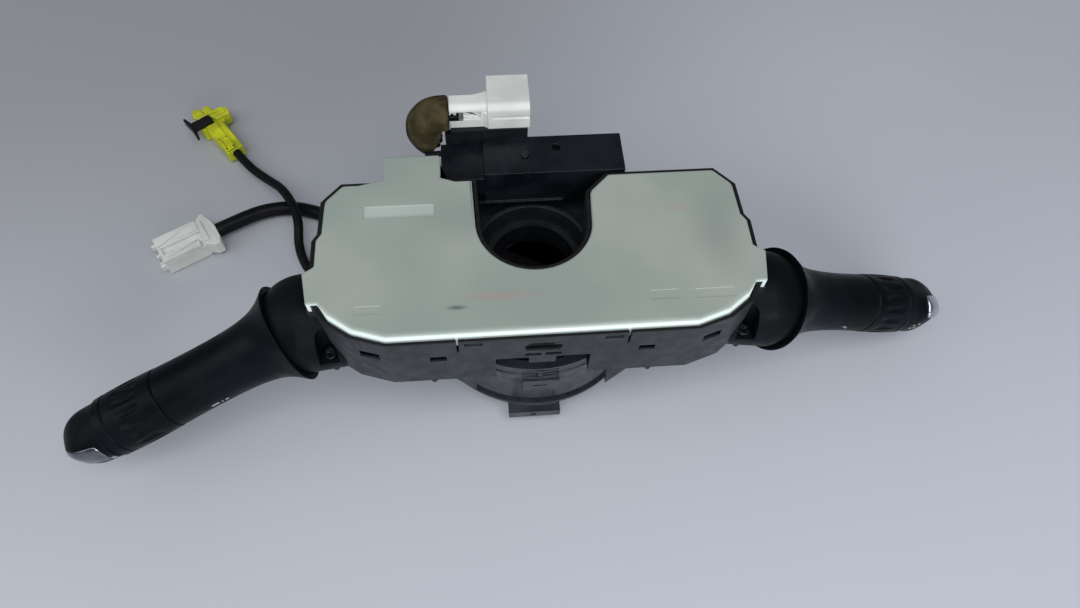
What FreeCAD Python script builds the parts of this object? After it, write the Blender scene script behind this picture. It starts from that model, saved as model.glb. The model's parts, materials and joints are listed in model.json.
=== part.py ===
import FreeCAD, Part
import math
import os

# Steering column switch module with its steering angle sensor.
# Frame: origin on the column axis at the rest face of the rotor hub, +X right, +Y away, +Z to the rear cover.

os.makedirs("parts", exist_ok=True)

V = FreeCAD.Vector
X_AXIS = V(1, 0, 0)
Z_AXIS = V(0, 0, 1)
ORIGIN = V(0, 0, 0)

# Heights along the column axis
cover_top_z = 90.0
wall_top_z = 88.5
housing_floor_z = 55.0
floor_thick = 2.5
collar_top_z = 65.0
drum_top_z = 50.0
rim_bottom_z = 12.0

# Rear cover outline, right half, from the middle of the south edge to the corner of the north edge
cover_half_width = 91.7
cover_south = 54.3
cover_north = 22.7
corner_a = (62.2, 54.3)
corner_b = (75.9, 49.8)
corner_c = (85.2, 42.9)
corner_d = (89.0, 36.6)
side_low = (91.7, 31.0)
side_high = (91.7, 5.5)
shoulder_a = (89.6, 2.0)
shoulder_b = (89.1, 14.5)
shoulder_c = (81.9, 22.7)
notch_radius = 25.1
notch_half = 25.9
notch_chamfer = 8.8
top_tab_x0 = -64.7
top_tab_x1 = -39.5
top_tab_y = 38.0
top_tab_lead = 2.5
top_tab_west = 10.3
top_tab_east = 6.5
ear_tip = 96.4
ear_foot = 94.0
ear_y0 = -36.2
ear_corner_y = -21.5
ear_y1 = -17.8
ear_round = 1.0
cover_thick = 2.0
cover_skirt = 8.0
cover_round = 3.4
ear_depth = 6.0
wall_seat = 0.1

# Housing
wall_gap = 0.6
wall_thick = 1.5
notch_well_north = 38.8
well_wall_top_z = 70.0
bore_radius = 25.3
collar_thick = 2.0
window_half = 19.6
window_top_z = 71.5
leg_depth = 14.0

# Lever pivots and cases
pivot_x = 100.0
pivot_y = -28.0
pivot_z = 60.0
dome_radius = 21.6
case_wall = 2.2
case_inner_x = 82.0
case_split_z = 50.0
case_fit = 0.1
case_screw_x = 89.2
case_screw_south = -43.8
case_screw_north = -8.5
case_boss_radius = 5.6
case_scoop_radius = 4.0
case_screw_tip_z = 47.6
dome_taper = 2.2
case_screw_radius = 1.6
case_boss_low_z = 45.0
case_seat_z = 60.0
stand_start = 13.0
shank_clear = 1.6
case_head_radius = 3.1

# Levers, measured along the lever from its pivot
bell_gap = 0.4
neck_radius = 13.8
left_bell_start = 8.5
left_bell_radius = 22.7
left_neck_end = 68.0
left_ring_end = 97.6
left_lever_end = 118.6
right_bell_start = 6.3
right_bell_radius = 23.4
right_neck_end = 62.0
right_ring_end = 88.0
right_lever_end = 116.6
ring_radius = 14.3
lever_gap = 0.25
core_radius = 10.2
core_wall = 2.0
rod_radius = 2.5
shank_radius = 5.0
left_azimuth = -19.5
left_descent = 16.0
right_azimuth = 7.9
right_descent = 22.3
left_turn_low = -27.4
right_turn_low = -21.0
right_turn_high = 7.0
left_trim_turn = -75.0
right_trim_turn = 35.0
pull_range = 5.0
grip_grooves = 12

# Turn carrier and detent
pin_radius = 2.0
running_fit = 0.05
eye_half = 5.2
cheek_gap = 0.3
cheek_thick = 3.4
carrier_back = 12.0
carrier_front = 3.0
carrier_height = 9.5
carrier_plate = 2.2
trunnion_radius = 3.5
trunnion_reach = 17.5
plunger_radius = 2.0
plunger_reach = 14.0
detent_pitch = 7.0

# Clock spring
drum_radius = 52.0
drum_waist = 50.4
case_inner_radius = 47.6
rim_radius = 52.7
back_plate_z = 37.5
back_plate_thick = 2.5
bore_inner = 19.5
sleeve_radius = 22.3
rotor_drum_radius = 28.0
flange_z0 = 5.0
flange_z1 = 11.0
flange_radius = 50.0
lug_x0 = 30.0
lug_x1 = 44.0
lug_half = 3.0
hub_radius = 27.0
drum_post_x = 45.0
drum_post_y = 31.5
drum_post_radius = 4.2

# Angle sensor
sensor_z0 = 42.6
sensor_z1 = 53.0
sensor_radius = 47.0
sensor_wall = 1.5
gear_module = 0.8
drive_teeth = 60
teeth_a = 22
teeth_b = 20
gear_z0 = 46.0
gear_z1 = 49.0
angle_a = 205.0
angle_b = 335.0
backlash = 0.28
gear_pin_radius = 1.5
gear_pin_top = 49.2
magnet_z0 = 50.2
magnet_height = 1.1
sensor_board_thick = 1.1
board_drop = 0.2
pin_strip_x = -37.0
drive_gear_z0 = 45.2
drive_gear_z1 = 58.0
dog_top = 47.0
dog_half = 2.4
dog_angles = (0, 120, 240)
sleeve_top = 45.0

# Ribbon cable
ribbon_start = 28.4
ribbon_pitch = 2.2
ribbon_turns = 8
ribbon_thick = 0.3
ribbon_z0 = 15.0
ribbon_z1 = 34.0

# Circuit board
board_z = 74.0
board_thick = 1.6
board_inset = 2.0

# Harness bracket and top connector
bracket_x0 = -20.0
bracket_x1 = 43.0
bracket_y0 = 25.2
bracket_y1 = 46.4
bracket_wall = 2.0
bracket_low_z = 70.0
lip_x0 = -23.5
lip_x1 = 15.8
step_x0 = -39.2
step_y0 = 25.4
step_tab_x = -46.4
header_x0 = -17.8
header_x1 = 37.0
step_z = 87.0
connector_z0 = 95.5
connector_low_z = 108.0
connector_tall_z = 109.0
connector_x0 = -34.1
connector_slant_x = -23.6
connector_mid_x = -17.2
connector_x1 = 1.6
connector_low_y0 = 48.3
connector_tall_y0 = 46.8
connector_low_y = 56.0
connector_slant_y = 57.8
connector_tall_y = 66.3
base_x0 = -36.8
foam_radius = 8.0
foam_y = 51.6
foam_z = 101.6
foam_bend_x = -37.3
foam_bend_radius = 9.0
foam_bend_angle = 145.0
wire_radius = 1.1

# Leads that lie beside the drum
horn_lead_radius = 3.9
airbag_lead_radius = 2.5
horn_plug_z = 6.1
airbag_plug_z = 5.7
horn_route = [
    V(-56.0, 36.0, 20.0),
    V(-72.0, 46.5, 18.0),
    V(-90.0, 58.5, 10.5),
    V(-108.0, 71.0, 4.8),
    V(-127.0, 78.5, 4.1),
    V(-143.0, 77.0, 4.6),
    V(-155.5, 70.0, horn_plug_z),
    V(-167.0, 63.5, horn_plug_z),
]
airbag_route = [
    V(-61.0, 24.0, 19.0),
    V(-80.0, 24.5, 15.0),
    V(-101.0, 25.0, 6.5),
    V(-115.5, 33.5, 2.9),
    V(-123.0, 49.5, 4.8),
    V(-122.0, 66.0, 12.0),
    V(-131.5, 85.0, 12.0),
    V(-144.0, 98.0, 6.2),
    V(-154.5, 107.5, airbag_plug_z),
    V(-163.0, 119.0, airbag_plug_z),
]


# Basic shapes

def box(x0, x1, y0, y1, z0, z1):
    return Part.makeBox(x1 - x0, y1 - y0, z1 - z0, V(x0, y0, z0))


def rod(radius, base, tip):
    axis = tip - base
    return Part.makeCylinder(radius, axis.Length, base, axis)


def pipe(outer, inner, base, tip):
    extra = (tip - base).normalize()
    return rod(outer, base, tip).cut(rod(inner, base - extra, tip + extra))


def plate(points, z0, z1):
    corners = [V(x, y, z0) for x, y in points]
    face = Part.Face(Part.makePolygon(corners + [corners[0]]))
    return face.extrude(V(0, 0, z1 - z0))


def side_plate(points, y0, y1):
    corners = [V(x, y0, z) for x, z in points]
    face = Part.Face(Part.makePolygon(corners + [corners[0]]))
    return face.extrude(V(0, y1 - y0, 0))


def lathe_z(points):
    corners = [V(r, 0, z) for r, z in points]
    face = Part.Face(Part.makePolygon(corners + [corners[0]]))
    return face.revolve(ORIGIN, Z_AXIS, 360.0)


def lathe_x(points):
    corners = [V(t, r, 0) for t, r in points]
    face = Part.Face(Part.makePolygon(corners + [corners[0]]))
    return face.revolve(ORIGIN, X_AXIS, 360.0)


def join(shapes):
    whole = shapes[0].fuse(shapes[1:]) if len(shapes) > 1 else shapes[0]
    return whole.removeSplitter()


def group(shapes):
    return Part.makeCompound(shapes)


def moved(shape, x=0.0, y=0.0, z=0.0):
    copy = shape.copy()
    copy.translate(V(x, y, z))
    return copy


def turned(shape, angle, centre=ORIGIN, axis=Z_AXIS):
    copy = shape.copy()
    copy.rotate(centre, axis, angle)
    return copy


def mirrored(shape):
    return shape.mirror(ORIGIN, X_AXIS)


def save(name, shape):
    for solid in shape.Solids:
        if not solid.isValid():
            print("not valid:", name)
    print(f"{name}: {len(shape.Solids)} solids, {shape.Volume / 1000:.2f} cm3")
    shape.exportStep(f"parts/{name}.step")


# Outline of the rear cover, grown outwards by a margin

def outline_face(grow, z):
    right = [corner_a, corner_b, corner_c, corner_d, side_low]
    south_side = [V(x, -y, z) for x, y in right]
    east = [V(side_high[0], -side_high[1], z), V(shoulder_a[0], shoulder_a[1] - 4.0, z)]
    north_east = [V(shoulder_b[0], shoulder_b[1], z), V(shoulder_c[0], cover_north, z)]
    notch_east = [V(notch_half + notch_chamfer, cover_north, z), V(notch_half, cover_north - notch_chamfer, z)]
    arc_east = V(notch_radius, 0, z)
    arc_west = V(-notch_radius, 0, z)
    arc_south = V(0, -notch_radius, z)
    notch_west = [V(-notch_half, cover_north, z)]
    west = [V(-p.x, p.y, z) for p in reversed(south_side + east + north_east)]
    start = south_side + east + north_east + notch_east + [arc_east]
    finish = [arc_west] + notch_west + west
    edges = [Part.LineSegment(a, b).toShape() for a, b in zip(start, start[1:])]
    edges.append(Part.Arc(arc_east, arc_south, arc_west).toShape())
    edges += [Part.LineSegment(a, b).toShape() for a, b in zip(finish, finish[1:])]
    edges.append(Part.LineSegment(finish[-1], start[0]).toShape())
    face = Part.Face(Part.Wire(Part.__sortEdges__(edges)))
    if grow:
        face = face.makeOffset2D(grow, 2)
    return face


def outline_block(grow, z0, z1):
    return outline_face(grow, z0).extrude(V(0, 0, z1 - z0))


def south_edges(shape, z):
    picked = []
    for edge in shape.Edges:
        heights = [v.Point.z for v in edge.Vertexes]
        depth = [v.Point.y for v in edge.Vertexes]
        level = all(abs(h - z) < 1e-6 for h in heights)
        if level and len(heights) == 2 and max(depth) < -side_low[1] + 0.1:
            picked.append(edge)
    return picked


# Rear cover: a shallow lid with a skirt, two ears and a tab that crosses the housing wall

def make_ear():
    over_wall = wall_top_z + wall_seat
    lip_x = cover_half_width + wall_gap + wall_thick + 0.4
    root = cover_half_width - cover_thick
    corners = [(root, ear_y0), (ear_foot, ear_y0), (ear_tip, ear_corner_y), (ear_tip - 3.8, ear_y1 - 1.2),
               (ear_tip - 5.4, ear_y1), (root, ear_y1)]
    deep = plate(corners, cover_top_z - ear_depth, cover_top_z)
    lip = deep.common(box(lip_x, ear_tip + 1, ear_y0 - 1, ear_y1 + 1, 0, cover_top_z + 1))
    ear = plate(corners, over_wall, cover_top_z).fuse(lip).removeSplitter()
    rims = []
    for edge in ear.Edges:
        ends = [v.Point for v in edge.Vertexes]
        level = all(abs(p.z - cover_top_z) < 1e-6 and p.x > ear_foot - 0.1 for p in ends)
        if level and len(ends) == 2:
            rims.append(edge)
    return ear.makeFillet(ear_round, rims)


def make_top_tab():
    over_wall = wall_top_z + wall_seat
    past_wall = cover_north + wall_gap + wall_thick + 0.4
    rise = cover_north + top_tab_lead
    corners = [(top_tab_x0 - top_tab_west, cover_north), (top_tab_x0, rise), (top_tab_x0, top_tab_y),
               (top_tab_x1, top_tab_y), (top_tab_x1, rise), (top_tab_x1 + top_tab_east, cover_north)]
    tab = plate(corners, over_wall, cover_top_z)
    root = box(top_tab_x0 - top_tab_west, top_tab_x1 + top_tab_east, cover_north - cover_thick, cover_north,
               over_wall, cover_top_z)
    skirt = box(top_tab_x0, top_tab_x1, past_wall, top_tab_y, cover_top_z - cover_skirt, cover_top_z)
    hollow = box(top_tab_x0 + cover_thick, top_tab_x1 - cover_thick, past_wall + cover_thick,
                 top_tab_y - cover_thick, cover_top_z - cover_skirt - 1, cover_top_z - cover_thick)
    return tab.fuse([root, skirt]).cut(hollow)


def make_rear_cover():
    body = outline_block(0, cover_top_z - cover_skirt, cover_top_z)
    body = body.makeFillet(cover_round, south_edges(body, cover_top_z))
    hollow = outline_block(-cover_thick, cover_top_z - cover_skirt - 1, cover_top_z - cover_thick)
    lid = body.cut(hollow)
    ear = make_ear()
    lid = lid.fuse([ear, mirrored(ear), make_top_tab()])
    recess = box(-72.4, -42.2, 4.3, 10.7, cover_top_z - 0.5, cover_top_z + 1)
    lid = lid.cut(recess)
    return lid.removeSplitter()


# Switch housing: floor, outer wall with slots, column notch and south window

def wall_slots():
    y0 = -cover_south - 6.0
    y1 = -cover_south + 3.0
    cuts = [box(-31.7, -24.4, y0, y1, 84.0, 86.6), box(24.6, 32.0, y0, y1, 84.0, 86.6)]
    for side in (-1, 1):
        inner = sorted((side * 39.4, side * 46.0))
        outer = sorted((side * 66.0, side * 73.8))
        cuts.append(box(inner[0], inner[1], y0, y1, 72.4, 76.6))
        cuts.append(box(outer[0], outer[1], y0, y1 + 8, 74.6, 79.4))
        seam = sorted((side * 34.0, side * 34.8))
        cuts.append(box(seam[0], seam[1], y0, y1, 79.5, wall_top_z + 1))
    oval = box(-4.2, 4.2, y0, y1, 77.0, 83.8)
    for side in (-1, 1):
        oval = oval.fuse(rod(3.4, V(side * 4.2, y0, 80.4), V(side * 4.2, y1, 80.4)))
        slot = sorted((side * 0.9, side * 7.4))
        cuts.append(box(slot[0], slot[1], y0, y1, 72.6, 75.2))
    cuts.append(oval)
    return cuts


def pin_slot(z0, z1):
    return box(pin_strip_x - 2.0, pin_strip_x + 2.0, -7.0, 7.0, z0, z1)


def make_switch_housing():
    outer = outline_block(wall_gap + wall_thick, housing_floor_z, wall_top_z)
    inner = outline_block(wall_gap, housing_floor_z + floor_thick, wall_top_z + 1)
    body = outer.cut(inner)
    well_half = notch_half + wall_gap
    floor_top = housing_floor_z + floor_thick
    floor = box(-well_half - 4, well_half + 6, -10.0, notch_well_north + 2.0, housing_floor_z, floor_top)
    back = box(-well_half - 4, well_half + 6, notch_well_north, notch_well_north + 2.0, floor_top, well_wall_top_z)
    collar = rod(bore_radius + collar_thick, V(0, 0, housing_floor_z), V(0, 0, collar_top_z))
    for side in (-1, 1):
        near, far = sorted((side * well_half, side * (drum_post_x + drum_post_radius)))
        body = body.fuse(box(near, far, drum_post_y - 12, drum_post_y + drum_post_radius, housing_floor_z, floor_top))
    body = body.fuse([floor, back, collar])
    ledge_radius = notch_radius - wall_gap - wall_thick
    body = body.cut(rod(bore_radius, V(0, 0, housing_floor_z - 1), V(0, 0, collar_top_z - 2.0)))
    body = body.cut(rod(ledge_radius, V(0, 0, housing_floor_z - 1), V(0, 0, collar_top_z + 1)))
    north_bore = box(-bore_radius, bore_radius, 0, bore_radius, collar_top_z - 3.0, collar_top_z + 1)
    bore_round = rod(bore_radius, V(0, 0, collar_top_z - 3.0), V(0, 0, collar_top_z + 1))
    body = body.cut(bore_round.common(north_bore))
    for cut in wall_slots():
        body = body.cut(cut)
    window = box(-window_half, window_half, -cover_south - 6, -cover_south + 4, housing_floor_z - 1, window_top_z)
    tongue = box(-5.8, 5.4, -cover_south - 2.1, -cover_south - 0.6, window_top_z - 5.0, window_top_z + 1)
    body = body.cut(window).fuse(tongue)
    floor_cut = box(-window_half, window_half, -cover_south - 6, -46.5, housing_floor_z - 1, floor_top + 0.01)
    body = body.cut(floor_cut)
    for side in (-1, 1):
        rib = sorted((side * (ear_foot - 4.0), side * (ear_foot + 0.8)))
        body = body.fuse(box(rib[0], rib[1], -36.2, -34.7, 74.0, cover_top_z - ear_depth - 0.1))
        tunnel = dome_body(dome_radius + case_fit, case_inner_x - 0.2, 0.0)
        if side < 0:
            tunnel = mirrored(tunnel)
        body = body.cut(moved(tunnel, side * pivot_x, pivot_y, pivot_z))
        wall_out = -cover_south - wall_gap - wall_thick
        gusset = [(side * 36.5, housing_floor_z), (side * 28.0, housing_floor_z),
                  (side * 28.6, housing_floor_z - leg_depth)]
        body = body.fuse(side_plate(gusset, wall_out, wall_out + 5.0))
        for y in (-1, 1):
            post = V(side * drum_post_x, y * drum_post_y, floor_top)
            boss = rod(drum_post_radius, post - V(0, 0, 0.5), post + V(0, 0, 6.0))
            hole = rod(1.5, post - V(0, 0, floor_thick + 1), post + V(0, 0, 5.0))
            body = body.fuse(boss).cut(hole)
        for x, y in ((side * 62.0, -44.0), (side * 62.0, 12.0)):
            body = body.fuse(rod(3.0, V(x, y, floor_top - 0.5), V(x, y, board_z)))
        body = body.fuse(rod(1.3, V(side * 46.0, wall_out + 1.0, housing_floor_z - 1.6),
                             V(side * 46.0, wall_out + 1.0, housing_floor_z + 0.5)))
    body = body.cut(pin_slot(housing_floor_z - 1, floor_top + 1))
    return body.removeSplitter()


# Circuit board and what stands on it

def make_circuit_board():
    edge = outline_face(-board_inset, board_z)
    board = edge.extrude(V(0, 0, board_thick))
    for side in (-1, 1):
        limit = sorted((side * (case_inner_x - 2.5), side * 120))
        board = board.cut(box(limit[0], limit[1], -80, 60, board_z - 1, board_z + 3))
    return board.removeSplitter()


def make_board_parts():
    top = board_z + board_thick
    pieces = []
    for x, y, w, d, h in ((-52, -6, 14, 12, 7), (46, -2, 16, 11, 6), (70, 4, 9, 9, 8), (-68, 6, 8, 7, 6)):
        pieces.append(box(x - w / 2, x + w / 2, y - d / 2, y + d / 2, top, top + h))
    for x, y, r, h in ((-38, -18, 3.2, 9), (-47, -30, 4.0, 10), (38, -16, 3.2, 9), (60, -22, 5.0, 8)):
        pieces.append(rod(r, V(x, y, top), V(x, y, top + h)))
    chip = box(-8, 8, -47, -35, top, top + 2.2)
    pieces.append(chip)
    return group(pieces)


def make_board_header():
    top = board_z
    body = box(header_x0, header_x1, bracket_y0 + 3.0, bracket_y1 - 1.0, top, top + 11.0)
    mouth = box(header_x0 + 2, header_x1 - 2, bracket_y0 + 8.0, bracket_y1, top + 2, top + 9.0)
    body = body.cut(mouth)
    pins = []
    for row in range(2):
        for column in range(12):
            x = header_x0 + 6.8 + column * 4.0
            z = top + 4.0 + row * 3.0
            pins.append(box(x - 0.4, x + 0.4, bracket_y0 + 7.5, bracket_y1 - 6, z - 0.4, z + 0.4))
    return join([body] + pins)


# Harness bracket: the shelf behind the notch

def make_harness_bracket():
    shell = box(bracket_x0, bracket_x1, bracket_y0, bracket_y1, bracket_low_z, cover_top_z)
    room = box(bracket_x0 + bracket_wall, bracket_x1 - bracket_wall, bracket_y0 + bracket_wall, bracket_y1 + 1,
               bracket_low_z + bracket_wall, cover_top_z - bracket_wall)
    shell = shell.cut(room)
    step = box(step_x0, bracket_x0 + 1, step_y0, bracket_y1, bracket_low_z + 6, step_z)
    step = step.cut(box(step_x0 + 2, bracket_x0 - 2, step_y0 + 2, bracket_y1 + 1, bracket_low_z + 8, step_z - 2))
    tab = box(step_tab_x, step_x0 + 1, 41.0, 42.9, step_z - 2.0, step_z)
    lip = box(lip_x0, lip_x1, bracket_y0 - 1.0, bracket_y0 + 0.7, bracket_low_z, bracket_low_z + 1.2)
    shell = shell.fuse([step, tab, lip])
    shell = shell.cut(rod(2.0, V(13.0, 39.5, cover_top_z - 4), V(13.0, 39.5, cover_top_z + 1)))
    shell = shell.cut(rod(1.0, V(-1.4, 35.6, cover_top_z - 4), V(-1.4, 35.6, cover_top_z + 1)))
    ridge = box(bracket_x0 - 0.1, bracket_x0 + 1.0, bracket_y0, bracket_y1, step_z, cover_top_z)
    return shell.fuse(ridge).removeSplitter()


def make_bracket_screws():
    head = rod(1.9, V(-1.4, 35.6, cover_top_z), V(-1.4, 35.6, cover_top_z + 0.9))
    stem = rod(0.95, V(-1.4, 35.6, board_z + 11.0), V(-1.4, 35.6, cover_top_z + 0.5))
    return join([head, stem])


def make_top_connector_base():
    bottom = connector_z0 - 3.5
    foot = box(connector_x0, connector_x1 - 1.0, bracket_y1, bracket_y1 + 3.5, board_z + 12.5, connector_z0)
    toe = box(base_x0, connector_x0 + 1, bracket_y1, bracket_y1 + 3.5, board_z + 12.5, connector_z0 - 2.5)
    deck = box(connector_x0, connector_x1 - 1.0, bracket_y1, connector_low_y, bottom, connector_z0)
    arm = box(connector_mid_x, connector_x1 - 1.0, bracket_y1, connector_tall_y - 2, bottom, connector_z0)
    line = box(base_x0 - 1, connector_x1, bracket_y1 + 3.1, bracket_y1 + 4, bottom - 1.2, bottom - 0.8)
    return join([foot, toe, deck, arm]).cut(line)


def rounded_front(shape, y, z, radius):
    found = []
    for edge in shape.Edges:
        if all(abs(v.Point.z - z) < 1e-6 and abs(v.Point.y - y) < 1e-6 for v in edge.Vertexes):
            found.append(edge)
    return shape.makeFillet(radius, found)


def make_top_connector():
    low = plate([(connector_x0, connector_low_y0), (connector_mid_x + 1, connector_low_y0),
                 (connector_mid_x + 1, connector_slant_y), (connector_mid_x - 0.7, connector_slant_y),
                 (connector_slant_x, connector_low_y), (connector_x0, connector_low_y)],
                connector_z0, connector_low_z)
    tall = box(connector_mid_x, connector_x1, connector_tall_y0, connector_tall_y, connector_z0, connector_tall_z)
    wedge = plate([(connector_mid_x - 2.0, connector_low_y0), (connector_mid_x + 0.5, connector_tall_y0),
                   (connector_mid_x + 0.5, connector_low_y0 + 1)], connector_z0, connector_low_z - 3.4)
    low = rounded_front(low, connector_low_y0, connector_low_z, 3.0)
    tall = rounded_front(tall, connector_tall_y0, connector_tall_z, 3.5)
    body = low.fuse([tall, wedge])
    groove = box(connector_mid_x + 2, connector_x1 + 1, connector_tall_y0 - 1, connector_tall_y0 + 0.5, 101.4, 103.2)
    window = box(-31.0, -20.4, connector_low_y0 - 1, connector_low_y0 + 1.6, 100.6, 105.0)
    peep = box(-33.4, -32.2, connector_low_y0 - 1, connector_low_y0 + 1.2, 102.6, 104.4)
    mouth = box(connector_mid_x + 3, connector_x1 - 2.5, connector_low_y + 2, connector_tall_y + 1,
                connector_z0 + 2.5, connector_tall_z - 3)
    entry = rod(3.7, V(connector_x0 - 1, foam_y, foam_z), V(connector_x0 + 6, foam_y, foam_z))
    for cut in (groove, window, peep, mouth, entry):
        body = body.cut(cut)
    return body.removeSplitter()


# Round path made of straight runs joined by tangent arcs

def rounded_path(points, name, share=0.45):
    edges = []
    start = points[0]
    radii = []
    for before, here, after in zip(points, points[1:], points[2:]):
        back = (before - here)
        ahead = (after - here)
        turn = math.pi - back.getAngle(ahead)
        reach = share * min(back.Length, ahead.Length)
        radii.append(reach / math.tan(turn / 2))
        first = here + V(back).normalize() * reach
        last = here + V(ahead).normalize() * reach
        middle_way = (V(back).normalize() + V(ahead).normalize()).normalize()
        bulge = radii[-1] * (1 / math.cos(turn / 2) - 1)
        edges.append(Part.LineSegment(start, first).toShape())
        edges.append(Part.Arc(first, here + middle_way * bulge, last).toShape())
        start = last
    edges.append(Part.LineSegment(start, points[-1]).toShape())
    wire = Part.Wire(edges)
    print(name, "length", round(wire.Length, 1), "radii", [round(r, 1) for r in radii])
    return wire


def swept(path, radius, points):
    circle = Part.Wire(Part.makeCircle(radius, points[0], points[1] - points[0]))
    shape = path.makePipeShell([circle], True, False)
    section = math.pi * radius * radius * path.Length
    print("tube volume against section times length", round(shape.Volume / section, 4))
    return Part.Solid(shape) if shape.ShapeType == "Shell" else shape


# Foam sleeve and its wires: a straight run, then a turn about the bend point, then a short tail

def foam_path(start_x, dy, dr, tail):
    radius = foam_bend_radius + dr
    start = V(start_x, foam_y + dy, foam_z + dr)
    bend = V(foam_bend_x, foam_y + dy, foam_z - foam_bend_radius)

    def on_turn(degrees):
        a = math.radians(90.0 + degrees)
        return bend + V(radius * math.cos(a), 0, radius * math.sin(a))

    first = on_turn(0.0)
    last = on_turn(foam_bend_angle)
    edges = [Part.LineSegment(start, first).toShape(),
             Part.Arc(first, on_turn(foam_bend_angle / 2), last).toShape()]
    if tail:
        a = math.radians(180.0 + foam_bend_angle)
        edges.append(Part.LineSegment(last, last + V(math.cos(a), 0, math.sin(a)) * tail).toShape())
    return Part.Wire(edges), [start, first]


def make_foam_sleeve():
    path, ends = foam_path(connector_x0 - 0.3, 0.0, 0.0, 0.0)
    return swept(path, foam_radius, ends).cut(swept(path, wire_radius * 3.6, ends))


def make_top_wires():
    wires = []
    for k in range(6):
        a = math.radians(60 * k)
        path, ends = foam_path(connector_x0 + 4, 2.4 * math.cos(a), 2.4 * math.sin(a), 3.0)
        wires.append(swept(path, wire_radius, ends))
    return group(wires)


# Lever cases: a domed body in two shells, the dome opens where the lever goes through

def lever_frame(side, azimuth, descent):
    a = math.radians(azimuth)
    e = math.radians(descent)
    flat = V(side * math.cos(a), math.sin(a), 0)
    along = V(flat.x * math.cos(e), flat.y * math.cos(e), -math.sin(e))
    across = Z_AXIS.cross(flat)
    return flat, along, across


def place(shape, along, across, centre):
    third = along.cross(across)
    m = FreeCAD.Matrix(along.x, across.x, third.x, centre.x, along.y, across.y, third.y, centre.y,
                       along.z, across.z, third.z, centre.z, 0, 0, 0, 1)
    copy = shape.copy()
    copy.Placement = FreeCAD.Placement(m).multiply(copy.Placement)
    return copy


def pivot(side):
    return V(side * pivot_x, pivot_y, pivot_z)


def dome_body(radius, inner_x, neck_shift):
    neck = radius - dome_taper + neck_shift
    arc_points = [V(radius, 0, 0), V(radius * math.cos(math.pi / 4), radius * math.sin(math.pi / 4), 0), V(0, radius, 0)]
    back = inner_x - pivot_x
    edges = [Part.Arc(arc_points[0], arc_points[1], arc_points[2]).toShape(),
             Part.LineSegment(arc_points[2], V(back, neck, 0)).toShape(),
             Part.LineSegment(V(back, neck, 0), V(back, 0, 0)).toShape(),
             Part.LineSegment(V(back, 0, 0), arc_points[0]).toShape()]
    return Part.Face(Part.Wire(edges)).revolve(ORIGIN, X_AXIS, 360.0)


def case_shell(turn_low, turn_high, pull, azimuth, descent):
    centre = pivot(-1)
    body = moved(mirrored(dome_body(dome_radius, case_inner_x, 0.0)), centre.x, centre.y, centre.z)
    hollow = mirrored(dome_body(dome_radius - case_wall, case_inner_x + case_wall, 0.3))
    hollow.translate(centre)
    x = -case_screw_x
    r = case_boss_radius
    scoop = case_scoop_radius
    south = rod(r, V(x, case_screw_south, case_boss_low_z - 5), V(x, case_screw_south, cover_top_z))
    south = south.fuse(box(x - r, x + r, case_screw_south - 10, case_screw_south, case_boss_low_z - 5, cover_top_z))
    north = rod(r - 0.6, V(x, case_screw_north, case_boss_low_z), V(x, case_screw_north, housing_floor_z - 0.2))
    holes = [rod(case_screw_radius, V(x, case_screw_south, case_screw_tip_z), V(x, case_screw_south, case_seat_z + 1)),
             rod(case_screw_radius, V(x, case_screw_north, case_boss_low_z - 1), V(x, case_screw_north, 53.2)),
             rod(scoop, V(x, case_screw_south, case_seat_z), V(x, case_screw_south, cover_top_z)),
             box(x - scoop, x + scoop, case_screw_south - 10, case_screw_south, case_seat_z, cover_top_z)]
    keep_out = outline_block(wall_gap + wall_thick + case_fit, housing_floor_z - case_fit, cover_top_z)
    outside = north.cut(keep_out)
    shell = body.cut(hollow).fuse(outside.Solids)
    stands = []
    for sign in (-1, 1):
        reach = sign * (dome_radius - 0.7 * case_wall)
        stands.append(rod(6.5, centre + V(0, 0, sign * stand_start), centre + V(0, 0, reach)))
    shell = shell.fuse(stands + south.common(body).Solids + north.common(body).Solids)
    bearing = trunnion_radius + running_fit
    holes.append(rod(bearing, centre - V(0, 0, trunnion_reach + 0.3), centre + V(0, 0, trunnion_reach + 0.3)))
    for hole in holes:
        shell = shell.cut(hole)
    spread = math.degrees(math.asin((shank_radius + shank_clear) / (dome_radius - case_wall)))
    tilt = pull + spread
    corners = []
    for reach, sign in ((8.0, 1), (8.0, -1), (40.0, -1), (40.0, 1)):
        a = math.radians(-descent + sign * tilt)
        corners.append(V(reach * math.cos(a), 0, reach * math.sin(a)))
    wedge = Part.Face(Part.makePolygon(corners + [corners[0]]))
    start = turn_low - spread
    stop = turn_high + spread
    fan = wedge.revolve(ORIGIN, Z_AXIS, stop - start)
    fan.rotate(ORIGIN, Z_AXIS, 180.0 - azimuth + start)
    fan.translate(centre)
    shell = shell.cut(fan)
    return shell


def make_detent_block(side):
    arc = plunger_reach + 0.15
    wall = pivot_x - case_inner_x - case_wall
    block = box(arc - 4.6, wall, -9.0, 9.0, -3.0, 3.0).cut(rod(arc, V(0, 0, -4), V(0, 0, 4)))
    for k in range(-4, 5):
        a = math.radians(k * detent_pitch)
        x = arc * math.cos(a)
        y = arc * math.sin(a)
        block = block.cut(rod(0.7, V(x, y, -4), V(x, y, 4)))
    if side > 0:
        block = mirrored(block)
    return moved(block, side * pivot_x, pivot_y, pivot_z)


def split_case(shell):
    big = 300.0
    upper = shell.common(box(-big, big, -big, big, case_split_z, big))
    lower = shell.common(box(-big, big, -big, big, -big, case_split_z))
    return upper, lower


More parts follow.
